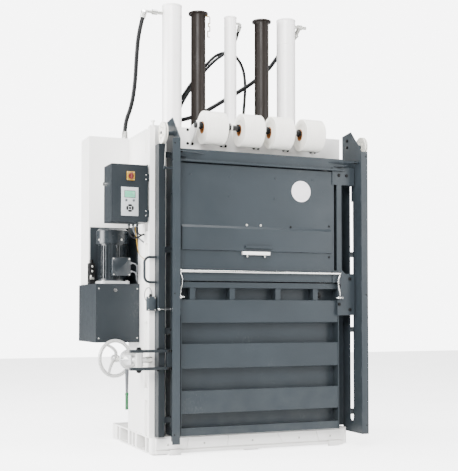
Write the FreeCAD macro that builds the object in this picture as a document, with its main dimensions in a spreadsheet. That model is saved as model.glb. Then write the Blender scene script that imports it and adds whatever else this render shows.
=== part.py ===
"""Recycling baler: a vertical press with a swinging front door and a filling gate.

Millimetres, +Z up, +X to the right when facing the door, +Y to the rear.
The origin lies on the floor under the middle of the skid.
"""

import FreeCAD, Part
import math
import os
import re

import Sketcher

doc = FreeCAD.newDocument("recycling_baler")
sheet = doc.addObject("Spreadsheet::Sheet", "Dims")
Vector = FreeCAD.Vector
Placement = FreeCAD.Placement
Rotation = FreeCAD.Rotation
ACROSS = Vector(1, 0, 0)
BACK = Vector(0, 1, 0)
UP = Vector(0, 0, 1)

# ---------------------------------------------------------------- dimensions
DIMENSIONS = {
    # skid
    "base_length": 1564, "base_depth": 960, "base_height": 130, "base_skin": 10,
    "foot_height": 12, "foot_width": 110, "fork_width": 205, "fork_spacing": 428,
    "fork_centre": -47, "cell_width": 58, "cell_web": 25, "corner_radius": 30,
    "sill_depth": 12, "sill_low": 44, "sill_high": 120, "floor_plate": 20,
    # press box
    "chamber_width": 1200, "wall_front": -347, "box_rear": 60, "chamber_rear": 340,
    "wall_skin": 8, "wall_depth": 60, "frame_top": 2310, "deck_plate": 40,
    "column_front": -480, "column_bar": 40, "column_lip": 10, "column_web": 5, "channel_depth": 25,
    "batten_height": 85, "beam_low": 2150, "beam_high": 2340, "beam_plate": 25,
    # cylinders and ram
    "cylinder_row": -50, "main_offset": 480, "guide_offset": 267, "main_diameter": 148,
    "main_top": 3326, "cylinder_wall": 12, "rod_diameter": 90, "guide_diameter": 112,
    "guide_top": 3284, "guide_cap": 150, "thin_diameter": 95, "thin_top": 3295,
    "thin_rod": 45, "ram_height": 170, "ram_low": 1960, "ram_margin": 12,
    "ram_travel": 900, "flange_plate": 25, "strap_slot": 30,
    # strap rolls
    "roll_diameter": 240, "roll_width": 160, "roll_row": -520, "roll_centre": 2318,
    "core_diameter": 86, "core_bore": 70, "bar_diameter": 40, "bracket_plate": 8,
    # door frame
    "plate": 6, "door_left": -634, "door_right": 795, "door_front": -680,
    "door_rear": -392, "door_low": 100, "flange_width": 55, "flange_top": 2200,
    "peak_height": 2372, "peak_row": -522, "rear_height": 2357, "slot_front": -552,
    "slot_width": 50, "slot_low": 185, "slot_high": 2080, "hinge_across": 835,
    "hinge_row": -385, "pin_diameter": 24, "fit_gap": 0.06,
    # lower door
    "stile_left": -590, "stile_right": 656, "skin_row": -480, "skin_low": 138,
    "rib_front": -565, "rib_sheet": 5, "door_top": 1214, "top_bar": 40, "rail_low": 2058,
    "rail_high": 2148, "rail_front": -580, "rail_right": 700,
    # filling gate
    "gate_width": 1232, "gate_front": -582, "gate_sheet": 5, "gate_low": 1222,
    "gate_high": 2048, "band_low": 1437, "band_high": 1616, "band_depth": 14,
    "gate_travel": 720, "carriage_row": -590, "bail_diameter": 20, "bail_height": 1288,
    "bail_pivot": 1108, "bail_row": -606,
    # counterweights
    "tube_width": 47, "tube_depth": 95, "tube_front": -560, "tube_gap": 63,
    "tube_top": 2175, "tube_wall": 4, "weight_length": 900, "weight_low": 150,
    "pulley_row": -545, "pulley_height": 2255, "pulley_radius": 76, "rope_radius": 68,
    "rope_diameter": 6, "pulley_inset": 12,
    # door lock
    "lock_across": -898, "lock_row": -581, "lock_height": 674, "lock_arm_gap": 100,
    "lock_arm_plate": 20, "lock_pin": 22, "wheel_diameter": 275, "wheel_section": 26,
    "wheel_reach": 315, "lock_turn": 14.9, "lock_bush": 20,
    # power unit
    "cabinet_width": 324, "cabinet_front": -220, "cabinet_rear": 284, "cabinet_low": 784,
    "cabinet_high": 1205, "sheet": 3, "motor_across": -949, "motor_row": -80,
    "motor_radius": 104, "motor_low": 1225, "motor_high": 1496, "cowl_radius": 115,
    "cowl_high": 1606, "fin_count": 28, "fin_depth": 9, "housing_left": -1088,
    "housing_rear": 300, "housing_step": 70, "guard_high": 1630,
    # control cabinet
    "control_left": -1067, "control_right": -794, "control_low": 1630,
    "control_high": 2030, "control_front": -480, "control_rear": -284, "lid_depth": 22,
    "keypad_width": 124, "keypad_height": 200, "keypad_across": -936,
    "keypad_middle": 1770, "switch_across": -930, "switch_height": 1947,
    "switch_plate": 58,
    # hoses
    "hose_diameter": 32, "thin_hose": 23,
    # clearances
    "gap": 0.3, "small_gap": 2,
}
ROLLS = {1: -334, 2: -47.5, 3: 192, 4: 445}
RIBS = {"low": (138, 191), "third": (295, 449), "second": (610, 775), "first": (930, 1086)}
BATTENS = (380, 935, 1490, 2050)
POSTS = (-499, -196, 165, 472)


def fill_sheet():
    """Write each driving dimension into its own cell, with its alias."""
    for row, (name, value) in enumerate(DIMENSIONS.items(), start=1):
        sheet.set("A%d" % row, name)
        sheet.set("B%d" % row, str(value))
        sheet.setAlias("B%d" % row, name)
    doc.recompute()


def formula(text):
    """Turn aliases in a formula into references to the sheet."""
    return re.sub(r"[a-z]\w*", lambda hit: "Dims." + hit.group(0)
                  if hit.group(0) in DIMENSIONS else hit.group(0), str(text))


def value(text):
    """Evaluate a formula of aliases, for shapes that are built by code."""
    total = sheet.evalExpression(formula(text))
    return float(getattr(total, "Value", total))


def bind(item, **formulas):
    for name, text in formulas.items():
        item.setExpression(name, formula(text))
    return item


def place(item, across, row, height):
    """Bind a piece's position to formulas."""
    for axis, text in zip("xyz", (across, row, height)):
        item.setExpression("Placement.Base." + axis, formula(text))
    return item


# ---------------------------------------------------------------- building blocks
def block(across, row, height):
    """A box between pairs of formulas along X, Y and Z."""
    item = doc.addObject("Part::Box", "Block")
    spans = ["(%s) - (%s)" % (span[1], span[0]) for span in (across, row, height)]
    bind(item, Length=spans[0], Width=spans[1], Height=spans[2])
    return place(item, across[0], row[0], height[0])


def rod(radius, across, row, height, length, axis=UP):
    """A round bar that starts at a point and runs along an axis."""
    item = doc.addObject("Part::Cylinder", "Rod")
    bind(item, Radius=radius, Height=length)
    item.Placement = Placement(Vector(), Rotation(UP, axis))
    return place(item, across, row, height)


def fuse(*items):
    item = doc.addObject("Part::MultiFuse", "Joined")
    item.Shapes = list(items)
    item.Refine = True
    return item


def cut(base, *tools):
    item = doc.addObject("Part::Cut", "Trimmed")
    item.Base = base
    item.Tool = tools[0] if len(tools) == 1 else fuse(*tools)
    item.Refine = True
    return item


def group(*items):
    """Separate solids that share one node."""
    item = doc.addObject("Part::Compound", "Group")
    item.Links = list(items)
    return item


def tube(outer, inner, across, row, height, length, axis=UP):
    """A pipe, open at both ends."""
    return cut(rod(outer, across, row, height, length, axis),
               rod(inner, across, row, height, length, axis))


PLANES = {"XY": "XY_Plane", "XZ": "XZ_Plane", "YZ": "YZ_Plane"}


def sketch_outline(body, plane, points):
    """A closed outline of straight edges, each corner bound to two formulas."""
    sketch = body.newObject("Sketcher::SketchObject", "Outline")
    origin = [f for f in body.Origin.OriginFeatures if f.Role == PLANES[plane]][0]
    sketch.AttachmentSupport = (origin, [""])
    sketch.MapMode = "FlatFace"
    corners = [Vector(value(a), value(b), 0) for a, b in points]
    count = len(corners)
    for i in range(count):
        sketch.addGeometry(Part.LineSegment(corners[i], corners[(i + 1) % count]), False)
    for i in range(count):
        sketch.addConstraint(Sketcher.Constraint("Coincident", i, 2, (i + 1) % count, 1))
    for i, (a, b) in enumerate(points):
        for kind, text in (("DistanceX", a), ("DistanceY", b)):
            size = value(text)
            index = sketch.addConstraint(Sketcher.Constraint(kind, -1, 1, i, 1, size))
            sketch.setExpression("Constraints[%d]" % index, formula(text))
    return sketch


def profile(plane, points, start, length):
    """A body padded from an outline.

    XY outlines rise from start, YZ outlines run to the right from start, and XZ
    outlines run to the front from start.
    """
    body = doc.addObject("PartDesign::Body", "Body")
    sketch = sketch_outline(body, plane, points)
    pad = body.newObject("PartDesign::Pad", "Pad")
    pad.Profile = sketch
    bind(pad, Length=length)
    shift = {"XY": "z", "XZ": "y", "YZ": "x"}[plane]
    body.setExpression("Placement.Base." + shift, formula(start))
    return body


def turned(points):
    """A body turned about Z from an outline of (radius, height) corners."""
    body = doc.addObject("PartDesign::Body", "Turned")
    sketch = sketch_outline(body, "XZ", points)
    spin = body.newObject("PartDesign::Revolution", "Revolution")
    spin.Profile = sketch
    spin.ReferenceAxis = (sketch, ["V_Axis"])
    spin.Angle = 360
    return body


def shaped(shape, name="Formed"):
    """A piece whose shape is made by code from values of the sheet."""
    item = doc.addObject("Part::Feature", name)
    item.Shape = shape
    return item


NODES = []


def keep(item, name):
    """Name a finished sub-part, which becomes its node."""
    item.Label = name
    NODES.append(item)
    return item


# ---------------------------------------------------------------- frame
def base_frame():
    """The skid: a hollow deck with fork pockets, feet and the chamber floor."""
    half, deep = "base_length / 2", "base_depth / 2"
    deck = block(("-" + half, half), ("-" + deep, deep), ("foot_height", "base_height"))
    low, high = "foot_height + base_skin", "base_height - base_skin"
    cells = []
    for side in (-1, 1):
        middle = "fork_centre + %d * fork_spacing / 2" % side
        cells.append((middle, "fork_width"))
        cells.append(("fork_centre + %d * (cell_web + cell_width) / 2" % side, "cell_width"))
        outer = "%s + %d * (fork_width / 2 + cell_web + cell_width / 2)" % (middle, side)
        cells.append((outer, "cell_width"))
    tools = [block(("-%s - 1" % half, half + " + 1"),
                   ("%s - (%s) / 2" % (middle, width), "%s + (%s) / 2" % (middle, width)),
                   (low, high)) for middle, width in cells]
    doc.recompute()
    upright = [i for i, edge in enumerate(deck.Shape.Edges, start=1)
               if abs(edge.Vertexes[0].Z - edge.Vertexes[-1].Z) > 1
               and edge.CenterOfMass.y < 0]
    rounded = doc.addObject("Part::Fillet", "RoundedDeck")
    rounded.Base = deck
    rounded.Edges = [(i, value("corner_radius"), value("corner_radius")) for i in upright]
    feet = []
    for across in (-1, 0, 1):
        for row in (-1, 0, 1):
            middle = "%d * (base_length - 160) / 2" % across
            place_row = "%d * (base_depth - 160) / 2" % row
            feet.append(block(
                (middle + " - foot_width / 2", middle + " + foot_width / 2"),
                (place_row + " - foot_width / 2", place_row + " + foot_width / 2"),
                ("0", "foot_height")))
    floor = block(("-chamber_width / 2", "chamber_width / 2"),
                  ("column_front + 14", "chamber_rear"),
                  ("base_height", "base_height + floor_plate"))
    slots = [block(("%s - strap_slot / 2" % across, "%s + strap_slot / 2" % across),
                   ("column_front - 1", "chamber_rear + 1"),
                   ("base_height + floor_plate / 2", "base_height + floor_plate + 1"))
             for across in ROLLS.values()]
    lugs = [block(("%d" % low_x, "%d" % high_x), ("-%s - 22" % deep, "-%s" % deep),
                  ("0", "40")) for low_x, high_x in ((-643, -561), (614, 704))]
    lip = block(("-%s + 40" % half, half + " - 40"), ("-%s - 14" % deep, "-%s" % deep),
                ("foot_height", "foot_height + 22"))
    welded = fuse(cut(rounded, *tools), cut(floor, *slots), lip, *feet, *lugs)
    return keep(welded, "base_frame")


def sill_plates():
    """Five plates across the skid's front edge, parted by slanted joints."""
    edges = [("-base_length / 2 + 38", "-base_length / 2 + 38"), ("-518", "-501"),
             ("-207", "-197"), ("233", "188"), ("533", "507"),
             ("base_length / 2 - 38", "base_length / 2 - 38")]
    plates = []
    for left, right in zip(edges[:-1], edges[1:]):
        outline = [(left[0] + " + 1.5", "sill_low"), (right[0] + " - 1.5", "sill_low"),
                   (right[1] + " - 1.5", "sill_high"), (left[1] + " + 1.5", "sill_high")]
        plates.append(profile("XZ", outline, "-base_depth / 2", "sill_depth"))
    notches = [rod("9", across, "-base_depth / 2 - sill_depth - 1", "sill_low + 30", "6",
                   BACK) for across in (-654, -383, -8, 368, 628)]
    return keep(cut(group(*plates), *notches), "sill_plates")


def side_wall(side, name):
    """A hollow side of the press box, with the chamber wall behind it.

    The left side carries the open channel column with its batten plates, and the
    catch for the door lock.
    """
    inner, outer = "chamber_width / 2", "base_length / 2"

    def span(low, high):
        if side > 0:
            return (low, high)
        return ("-(%s)" % high, "-(%s)" % low)
    shell = block(span(inner, outer), ("wall_front", "box_rear"),
                  ("base_height", "frame_top"))
    hollow = block(span(inner + " + wall_skin", outer + " - wall_skin"),
                   ("wall_front + wall_skin", "box_rear - wall_skin"),
                   ("base_height - 1", "frame_top - wall_skin"))
    rear = block(span(inner, inner + " + wall_depth"), ("box_rear", "chamber_rear"),
                 ("base_height", "frame_top"))
    pieces = [cut(shell, hollow), rear]
    if side < 0:
        lip = block(span(outer + " - channel_depth", outer + " + column_lip"),
                    ("column_front", "column_front + column_bar"),
                    ("base_height", "frame_top"))
        web = block(span(outer + " - channel_depth - column_web",
                         outer + " - channel_depth"),
                    ("column_front", "wall_front"), ("base_height", "frame_top"))
        pieces += [lip, web]
        for low in BATTENS:
            pieces.append(block(span(outer + " - channel_depth", outer),
                                ("column_front + column_bar", "wall_front"),
                                ("%d" % low, "%d + batten_height" % low)))
        for low in (-70, 50):
            pieces.append(block(span(outer, outer + " + 62"), ("wall_front", "-290"),
                                ("lock_height + %d" % low, "lock_height + %d + 14" % low)))
        pieces.append(rod("9", "-%s + 19" % outer, "column_front + column_bar / 2",
                          "frame_top", "34"))
        pieces.append(rod("14", "-%s + 19" % outer, "column_front + column_bar / 2",
                          "frame_top + 34", "10"))
    return keep(fuse(*pieces), name)


def rear_wall():
    edge = "(chamber_width / 2 + wall_depth)"
    plate = block(("-" + edge, edge), ("chamber_rear", "chamber_rear + wall_skin"),
                  ("base_height", "frame_top"))
    ribs = [block(("%s * %d / 4 - 20" % (edge, i), "%s * %d / 4 + 20" % (edge, i)),
                  ("chamber_rear + wall_skin", "chamber_rear + 60"),
                  ("base_height", "frame_top")) for i in (-3, -1, 1, 3)]
    rails = [block(("-" + edge, edge), ("chamber_rear + wall_skin", "chamber_rear + 60"),
                   ("%d" % low, "%d + 90" % low)) for low in (420, 1090, 1760)]
    return keep(fuse(plate, *ribs, *rails), "rear_wall")


def cylinder_bores(radius_gap, low, length):
    """Round bars that cut the deck where cylinders and guides pass."""
    bars = []
    for side in (-1, 1):
        bars.append(rod("main_diameter / 2 + %s" % radius_gap,
                        "%d * main_offset" % side, "cylinder_row", low, length))
        bars.append(rod("guide_diameter / 2 + gap",
                        "%d * guide_offset" % side, "cylinder_row", low, length))
    bars.append(rod("thin_diameter / 2 + %s" % radius_gap, "0", "cylinder_row", low, length))
    return bars


def top_beam():
    """The deck that carries the cylinders, and the beam across the front."""
    deck = block(("-chamber_width / 2", "chamber_width / 2"), ("wall_front", "chamber_rear"),
                 ("frame_top - deck_plate", "frame_top"))
    beam = block(("-base_length / 2 + channel_depth + column_web", "base_length / 2"),
                 ("wall_front - beam_plate", "wall_front"), ("beam_low", "beam_high"))
    bars = cylinder_bores("0", "frame_top - deck_plate - 1", "deck_plate + 2")
    bushes = []
    for side in (-1, 1):
        middle = "%d * guide_offset" % side
        bushes.append(tube("guide_diameter / 2 + 22", "guide_diameter / 2 + gap", middle,
                           "cylinder_row", "frame_top", "30"))
    edge = "-guide_offset + guide_cap / 2"
    cam_slot = block((edge + " - 18", edge + " + 30"), ("cylinder_row - 10", "cylinder_row + 16"),
                     ("frame_top - deck_plate - 1", "frame_top + 31"))
    return keep(fuse(cut(fuse(cut(deck, *bars), *bushes), cam_slot), beam), "top_beam")


def press_cylinders():
    """Two main cylinders and the thin return cylinder, with their flanges."""
    pieces = []
    low = "frame_top - deck_plate - 20"
    for across, size, top, shaft in (
            ("-main_offset", "main_diameter", "main_top", "rod_diameter"),
            ("main_offset", "main_diameter", "main_top", "rod_diameter"),
            ("0", "thin_diameter", "thin_top", "thin_rod")):
        shell = rod(size + " / 2", across, "cylinder_row", low, "%s - (%s)" % (top, low))
        bore = rod("%s / 2 - cylinder_wall" % size, across, "cylinder_row",
                   low + " + 30", "%s - (%s) - 50" % (top, low))
        gland = rod("%s / 2 + fit_gap" % shaft, across, "cylinder_row", low + " - 1", "40")
        flange = rod(size + " / 2 + 30", across, "cylinder_row", "frame_top", "flange_plate")
        pieces.append(cut(fuse(shell, flange), bore, gland))
    return keep(group(*pieces), "press_cylinders")


def housings():
    """The white cover of the hydraulic lines and the dark guard behind the motor."""
    left, right = "housing_left", "-chamber_width / 2 - wall_depth"
    low = "cabinet_high"
    shell = block((left, right), ("box_rear", "housing_rear"), (low, "frame_top"))
    hollow = block((left + " + sheet", right + " - sheet"),
                   ("box_rear + sheet", "housing_rear - sheet"),
                   (low + " + sheet", "frame_top - sheet"))
    keep(cut(shell, hollow), "hydraulic_housing")
    back = block((left + " + 8", "-base_length / 2"), ("box_rear - 14", "box_rear"),
                 (low, "guard_high"))
    side = block(("-base_length / 2 - 10", "-base_length / 2"), ("-180", "box_rear - 14"),
                 (low, "guard_high"))
    keep(fuse(back, side), "motor_guard")
    body = block(("housing_left - 12", "housing_left + 26"), ("-30", "box_rear - 14"),
                 (low, low + " + 155"))
    coil = rod("14", "housing_left + 7", "8", low + " + 155", "26")
    knob = rod("9", "housing_left + 7", "-40", low + " + 60", "10", BACK)
    return keep(fuse(body, coil, knob), "valve_block")


# ---------------------------------------------------------------- power unit
def power_unit():
    """The cabinet under the motor, its lift-off cover with a lock, and the oil tank."""
    right = "-base_length / 2"
    left = right + " - cabinet_width"
    shell = block((left, right), ("cabinet_front", "cabinet_rear"),
                  ("cabinet_low", "cabinet_high"))
    room = block((left + " + sheet", right + " - sheet"),
                 ("cabinet_front - 1", "cabinet_rear - sheet"),
                 ("cabinet_low + sheet", "cabinet_high - sheet"))
    hole = rod("30", "motor_across", "motor_row", "cabinet_high - 10", "20")
    keep(cut(shell, room, hole), "power_cabinet")
    sheet_metal = block((left, right + " - 6"), ("cabinet_front - sheet", "cabinet_front"),
                        ("cabinet_low + 4", "cabinet_high - 4"))
    lock_at = ("motor_across - 16", "cabinet_high - 45")
    bore = rod("9 + fit_gap", lock_at[0], "cabinet_front - 10", lock_at[1], "20", BACK)
    keep(cut(sheet_metal, bore), "power_cover")
    barrel = rod("9", lock_at[0], "cabinet_front - sheet - 4", lock_at[1], "16", BACK)
    rim = rod("13", lock_at[0], "cabinet_front - sheet - 4", lock_at[1], "4 - gap", BACK)
    key = block((lock_at[0] + " - 1.2", lock_at[0] + " + 1.2"),
                ("cabinet_front - sheet - 5", "cabinet_front - sheet - 3"),
                (lock_at[1] + " - 7", lock_at[1] + " + 7"))
    tongue = block((lock_at[0] + " - 5", lock_at[0] + " + 5"),
                   ("cabinet_front + 8", "cabinet_front + 11"),
                   (lock_at[1], lock_at[1] + " + 28"))
    keep(fuse(cut(fuse(barrel, rim), key), tongue), "cover_lock")
    tank = block((left + " + 22", right + " - 22"), ("cabinet_front + 60",
                 "cabinet_rear - 20"), ("cabinet_low + sheet", "cabinet_high - 125"))
    neck = rod("22", left + " + 60", "cabinet_front + 100", "cabinet_high - 125", "30")
    pump = rod("45", "motor_across", "motor_row", "cabinet_high - 125", "30")
    return keep(fuse(tank, neck, pump), "oil_tank")


def motor():
    """The finned motor with its cowl, fan shaft and terminal box."""
    base, axis = value("cabinet_high"), (value("motor_across"), value("motor_row"))
    low, high = value("motor_low"), value("motor_high")
    core, depth = value("motor_radius - fin_depth"), value("fin_depth")
    centre = Vector(axis[0], axis[1], 0)
    body = Part.makeCylinder(core, high - low, centre + UP * low)
    flange = Part.makeBox(220, 220, low - base, centre + Vector(-110, -110, base))
    flange = flange.makeFillet(40, [edge for edge in flange.Edges
                                    if abs(edge.Vertexes[0].Z - edge.Vertexes[-1].Z) > 1])
    fins = []
    for i in range(int(value("fin_count"))):
        fin = Part.makeBox(depth + 4, 3, high - low - 30, Vector(core - 4, -1.5, low + 18))
        fin.rotate(Vector(), UP, 360.0 * i / value("fin_count"))
        fin.translate(centre)
        fins.append(fin)
    collar = Part.makeCylinder(core + 5, 16, centre + UP * low)
    top = Part.makeCylinder(core + 5, 10, centre + UP * (high - 10))
    eye = Part.makeTorus(14, 4, centre + Vector(0, -core - 12, high - 20), ACROSS)
    bore = Part.makeCylinder(14.5, high - base + 2, centre + UP * (base - 1))
    seat = Part.makeBox(128, 40, 125, centre + Vector(-40, -130, base + 60))
    solid = body.fuse([flange, collar, top, eye] + fins).cut([bore, seat]).removeSplitter()
    keep(shaped(solid), "motor_body")

    cowl = turned([("cowl_radius", "motor_high"), ("cowl_radius", "cowl_high - 14"),
                   ("cowl_radius - 16", "cowl_high"), ("0", "cowl_high"),
                   ("0", "cowl_high - 3"), ("cowl_radius - 17", "cowl_high - 3"),
                   ("cowl_radius - 3", "cowl_high - 16"), ("cowl_radius - 3", "motor_high")])
    place(cowl, "motor_across", "motor_row", "0")
    slots = [block(("motor_across + %d - 3.5" % x, "motor_across + %d + 3.5" % x),
                   ("motor_row - %d" % y, "motor_row + %d" % y),
                   ("cowl_high - 8", "cowl_high + 1"))
             for x, y in ((-66, 40), (-44, 62), (-22, 74), (0, 78), (22, 74), (44, 62), (66, 40))]
    ring = tube("cowl_radius - 3", "motor_radius - 24", "motor_across", "motor_row",
                "motor_high", "4")
    keep(fuse(cut(cowl, *slots), ring), "motor_cowl")

    shaft = rod("14", "motor_across", "motor_row", "cabinet_high - 90",
                "motor_high + 70 - (cabinet_high - 90)")
    hub = rod("30", "motor_across", "motor_row", "motor_high + 20", "50")
    blades = []
    for i in range(6):
        blade = block(("24", "92"), ("-2", "2"), ("motor_high + 22", "motor_high + 66"))
        blade.Placement.Rotation = Rotation(UP, 60 * i)
        angle = math.radians(60 * i)
        place(blade, "motor_across + %.6f" % (24 * math.cos(angle) + 2 * math.sin(angle)),
              "motor_row + %.6f" % (24 * math.sin(angle) - 2 * math.cos(angle)),
              "motor_high + 22")
        blades.append(blade)
    keep(fuse(shaft, hub, *blades), "motor_fan")

    front = "motor_row - motor_radius"
    box = block(("motor_across - 40", "motor_across + 88"), (front + " - 52", "motor_row - 90"),
                ("cabinet_high + 60", "cabinet_high + 185"))
    lid = block(("motor_across - 44", "motor_across + 92"), (front + " - 62", front + " - 52"),
                ("cabinet_high + 56", "cabinet_high + 189"))
    glands = [rod("11", "motor_across + 88", front + " - 26", "cabinet_high + %d" % z, "24",
                  ACROSS) for z in (90, 150)]
    return keep(fuse(box, lid, *glands), "terminal_box")


# ---------------------------------------------------------------- control cabinet
def control_cabinet():
    """The control box, its hinged door, the keypad, the display and the switches."""
    left, right = "control_left", "control_right - 10"
    rear_of_lid = "control_front + lid_depth"
    shell = block((left, right), (rear_of_lid + " + small_gap", "control_rear"),
                  ("control_low", "control_high"))
    room = block((left + " + sheet", right + " - sheet"),
                 (rear_of_lid, "control_rear - sheet"),
                 ("control_low + sheet", "control_high - sheet"))
    lock_at = ("control_rear - 26", "control_high - 125")
    bore = rod("9 + fit_gap", left + " - 5", lock_at[0], lock_at[1], "20", ACROSS)
    bracket = block((right, "-base_length / 2"), ("wall_front", "control_rear"),
                    ("control_low + 60", "control_high - 70"))
    glands = [rod("10", "-896 + %d" % x, "control_rear - 80", "control_low - 18", "18")
              for x in (-10, 20, 50)]
    hinge_x, hinge_y = right + " + 6", "control_front + 6"
    fixed, moving = [], []
    for middle in ("control_high - 84", "control_low + 62"):
        fixed.append(rod("5", hinge_x, hinge_y, middle + " - 8", "16"))
        fixed.append(rod("2.5", hinge_x, hinge_y, middle + " - 24", "48"))
        fixed.append(block((right + " + gap", right + " + 3"), (hinge_y, rear_of_lid + " + 30"),
                           (middle + " - 8", middle + " + 8")))
        for start in (" - 24", " + 8.5"):
            moving.append(cut(fuse(
                rod("5", hinge_x, hinge_y, middle + start, "15.5"),
                block((right + " - 4", hinge_x), (hinge_y + " - 5", hinge_y + " + 1"),
                      (middle + start, middle + start + " + 15.5"))),
                rod("2.5 + fit_gap", hinge_x, hinge_y, middle + start + " - 1", "18")))
    straps = [block((right, right + " + 3"), (rear_of_lid + " + small_gap",
                    rear_of_lid + " + 30"), (middle + " - 8", middle + " + 8"))
              for middle in ("control_high - 84", "control_low + 62")]
    keep(fuse(cut(shell, room, bore), bracket, *glands, *fixed, *straps), "control_cabinet")

    tray = cut(block((left, right), ("control_front", rear_of_lid),
                     ("control_low", "control_high")),
               block((left + " + sheet", right + " - sheet"),
                     ("control_front + sheet", rear_of_lid + " + 1"),
                     ("control_low + sheet", "control_high - sheet")))
    keep(fuse(tray, *moving), "control_door")

    wide, tall = "keypad_width / 2", "keypad_height / 2"
    face = "control_front - 3"
    panel = block(("keypad_across - " + wide, "keypad_across + " + wide),
                  (face, "control_front"),
                  ("keypad_middle - " + tall, "keypad_middle + " + tall))
    keys = [rod(size, "keypad_across + %d" % x, face + " - 1", "keypad_middle + %d" % z,
                "2", BACK) for size, x, z in
            (("7", -25, 12), ("7", 28, 12), ("11", 2, -20), ("10", -26, -47),
             ("7", 2, -47), ("10", 30, -47), ("11", 2, -75))]
    window = block(("keypad_across - 38", "keypad_across + 38"), (face + " - 1", face),
                   ("keypad_middle + 28", "keypad_middle + 74"))
    keep(fuse(panel, window, *keys), "keypad_panel")
    plate_face = "control_front - 5"
    keep(block(("switch_across - switch_plate / 2", "switch_across + switch_plate / 2"),
               (plate_face, "control_front"),
               ("switch_height - switch_plate / 2", "switch_height + switch_plate / 2 + 4")),
         "main_switch_plate")
    knob = rod("19", "switch_across", plate_face + " - gap - 12", "switch_height",
               "12", BACK)
    grip = block(("switch_across - 7", "switch_across + 7"),
                 (plate_face + " - gap - 30", plate_face + " - gap - 10"),
                 ("switch_height - 24", "switch_height + 24"))
    keep(fuse(knob, grip), "main_switch_handle")
    barrel = rod("9", left + " - 12", lock_at[0], lock_at[1], "24", ACROSS)
    cap = rod("13", left + " - 12", lock_at[0], lock_at[1], "12 - gap", ACROSS)
    return keep(fuse(barrel, cap), "side_lock")


# ---------------------------------------------------------------- ram
def ram():
    """The press plate with its rods and guide tubes, drawn at the top of its travel."""
    half = "chamber_width / 2 - ram_margin"
    top = "ram_low + ram_height"
    plate = block(("-(%s)" % half, half), ("skin_row + ram_margin",
                  "chamber_rear - ram_margin"), ("ram_low", top))
    slots = [block(("%s - strap_slot / 2" % x, "%s + strap_slot / 2" % x),
                   ("skin_row", "chamber_rear"), ("ram_low - 1", "ram_low + 45"))
             for x in ROLLS.values()]
    walls = ["-(%s) + 4" % half] + ["%s" % x for x in ROLLS.values()] + [half + " - 4"]
    side = "strap_slot / 2 + 12"
    pockets = []
    for left, right in zip(walls[:-1], walls[1:]):
        for front, rear in (("skin_row + ram_margin + 16", "cylinder_row - 100"),
                            ("cylinder_row + 100", "chamber_rear - ram_margin - 16")):
            pockets.append(block(("(%s) + %s" % (left, side), "(%s) - (%s)" % (right, side)),
                                 (front, rear), ("ram_low + 20", top + " + 1")))
    keep(cut(plate, *slots, *pockets), "ram_platen")
    rods = []
    for across, size, high, shaft in (
            ("-main_offset", "main_diameter", "main_top", "rod_diameter"),
            ("main_offset", "main_diameter", "main_top", "rod_diameter"),
            ("0", "thin_diameter", "thin_top", "thin_rod")):
        stem = rod(shaft + " / 2", across, "cylinder_row", top, "%s - 30 - (%s)" % (high, top))
        piston = rod(size + " / 2 - cylinder_wall - gap", across, "cylinder_row",
                     high + " - 70", "40")
        rods.append(fuse(stem, piston))
    keep(group(*rods), "cylinder_rods")
    guides = []
    for side in (-1, 1):
        middle = "%d * guide_offset" % side
        pipe = tube("guide_diameter / 2", "guide_diameter / 2 - 8", middle, "cylinder_row",
                    top, "guide_top - (%s)" % top)
        cap = rod("guide_cap / 2", middle, "cylinder_row", "guide_top", "12")
        guides.append(fuse(pipe, cap))
    keep(group(*guides), "guide_tubes")
    edge = "-guide_offset + guide_cap / 2"
    steps = [("-14", "-8"), ("24", "-8"), ("24", "-60"), ("12", "-60"), ("12", "-78"),
             ("24", "-78"), ("24", "-120"), ("6", "-120"), ("6", "-160"), ("20", "-160"),
             ("20", "-166"), ("0", "-166"), ("0", "-114"), ("18", "-114"), ("18", "-84"),
             ("6", "-84"), ("6", "-54"), ("18", "-54"), ("18", "0"), ("-14", "0")]
    outline = [("%s + %s" % (edge, x), "guide_top + %s" % z) for x, z in steps]
    return keep(profile("XZ", outline, "cylinder_row + 3", "6"), "level_cam")


# ---------------------------------------------------------------- strap rolls
def strap_rolls():
    """The bar across the front with its brackets, and four rolls of strap on it."""
    height = "roll_centre + (core_bore - bar_diameter) / 2 - gap"
    bar = rod("bar_diameter / 2", "-470", "roll_row", height, "1030", ACROSS)
    beam_face = "wall_front - beam_plate"
    pieces = [bar]
    for across in (-452, -191, 72, 318, 548):
        outline = [("roll_row - 28", height + " + 14"), ("roll_row - 28", height + " - 16"),
                   ("roll_row", height + " - 30"), (beam_face, "beam_low + 60"),
                   (beam_face, "beam_high"), ("roll_row - 6", height + " + 36")]
        pieces.append(profile("YZ", outline, "%d - bracket_plate / 2" % across,
                              "bracket_plate"))
    keep(fuse(*pieces), "roll_bar")
    for number, across in ROLLS.items():
        start = "%s - roll_width / 2" % across
        winding = tube("roll_diameter / 2", "core_diameter / 2", start, "roll_row",
                       "roll_centre", "roll_width", ACROSS)
        core = tube("core_diameter / 2", "core_bore / 2", start, "roll_row",
                    "roll_centre", "roll_width", ACROSS)
        keep(group(winding, core), "strap_roll_%d" % number)


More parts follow.
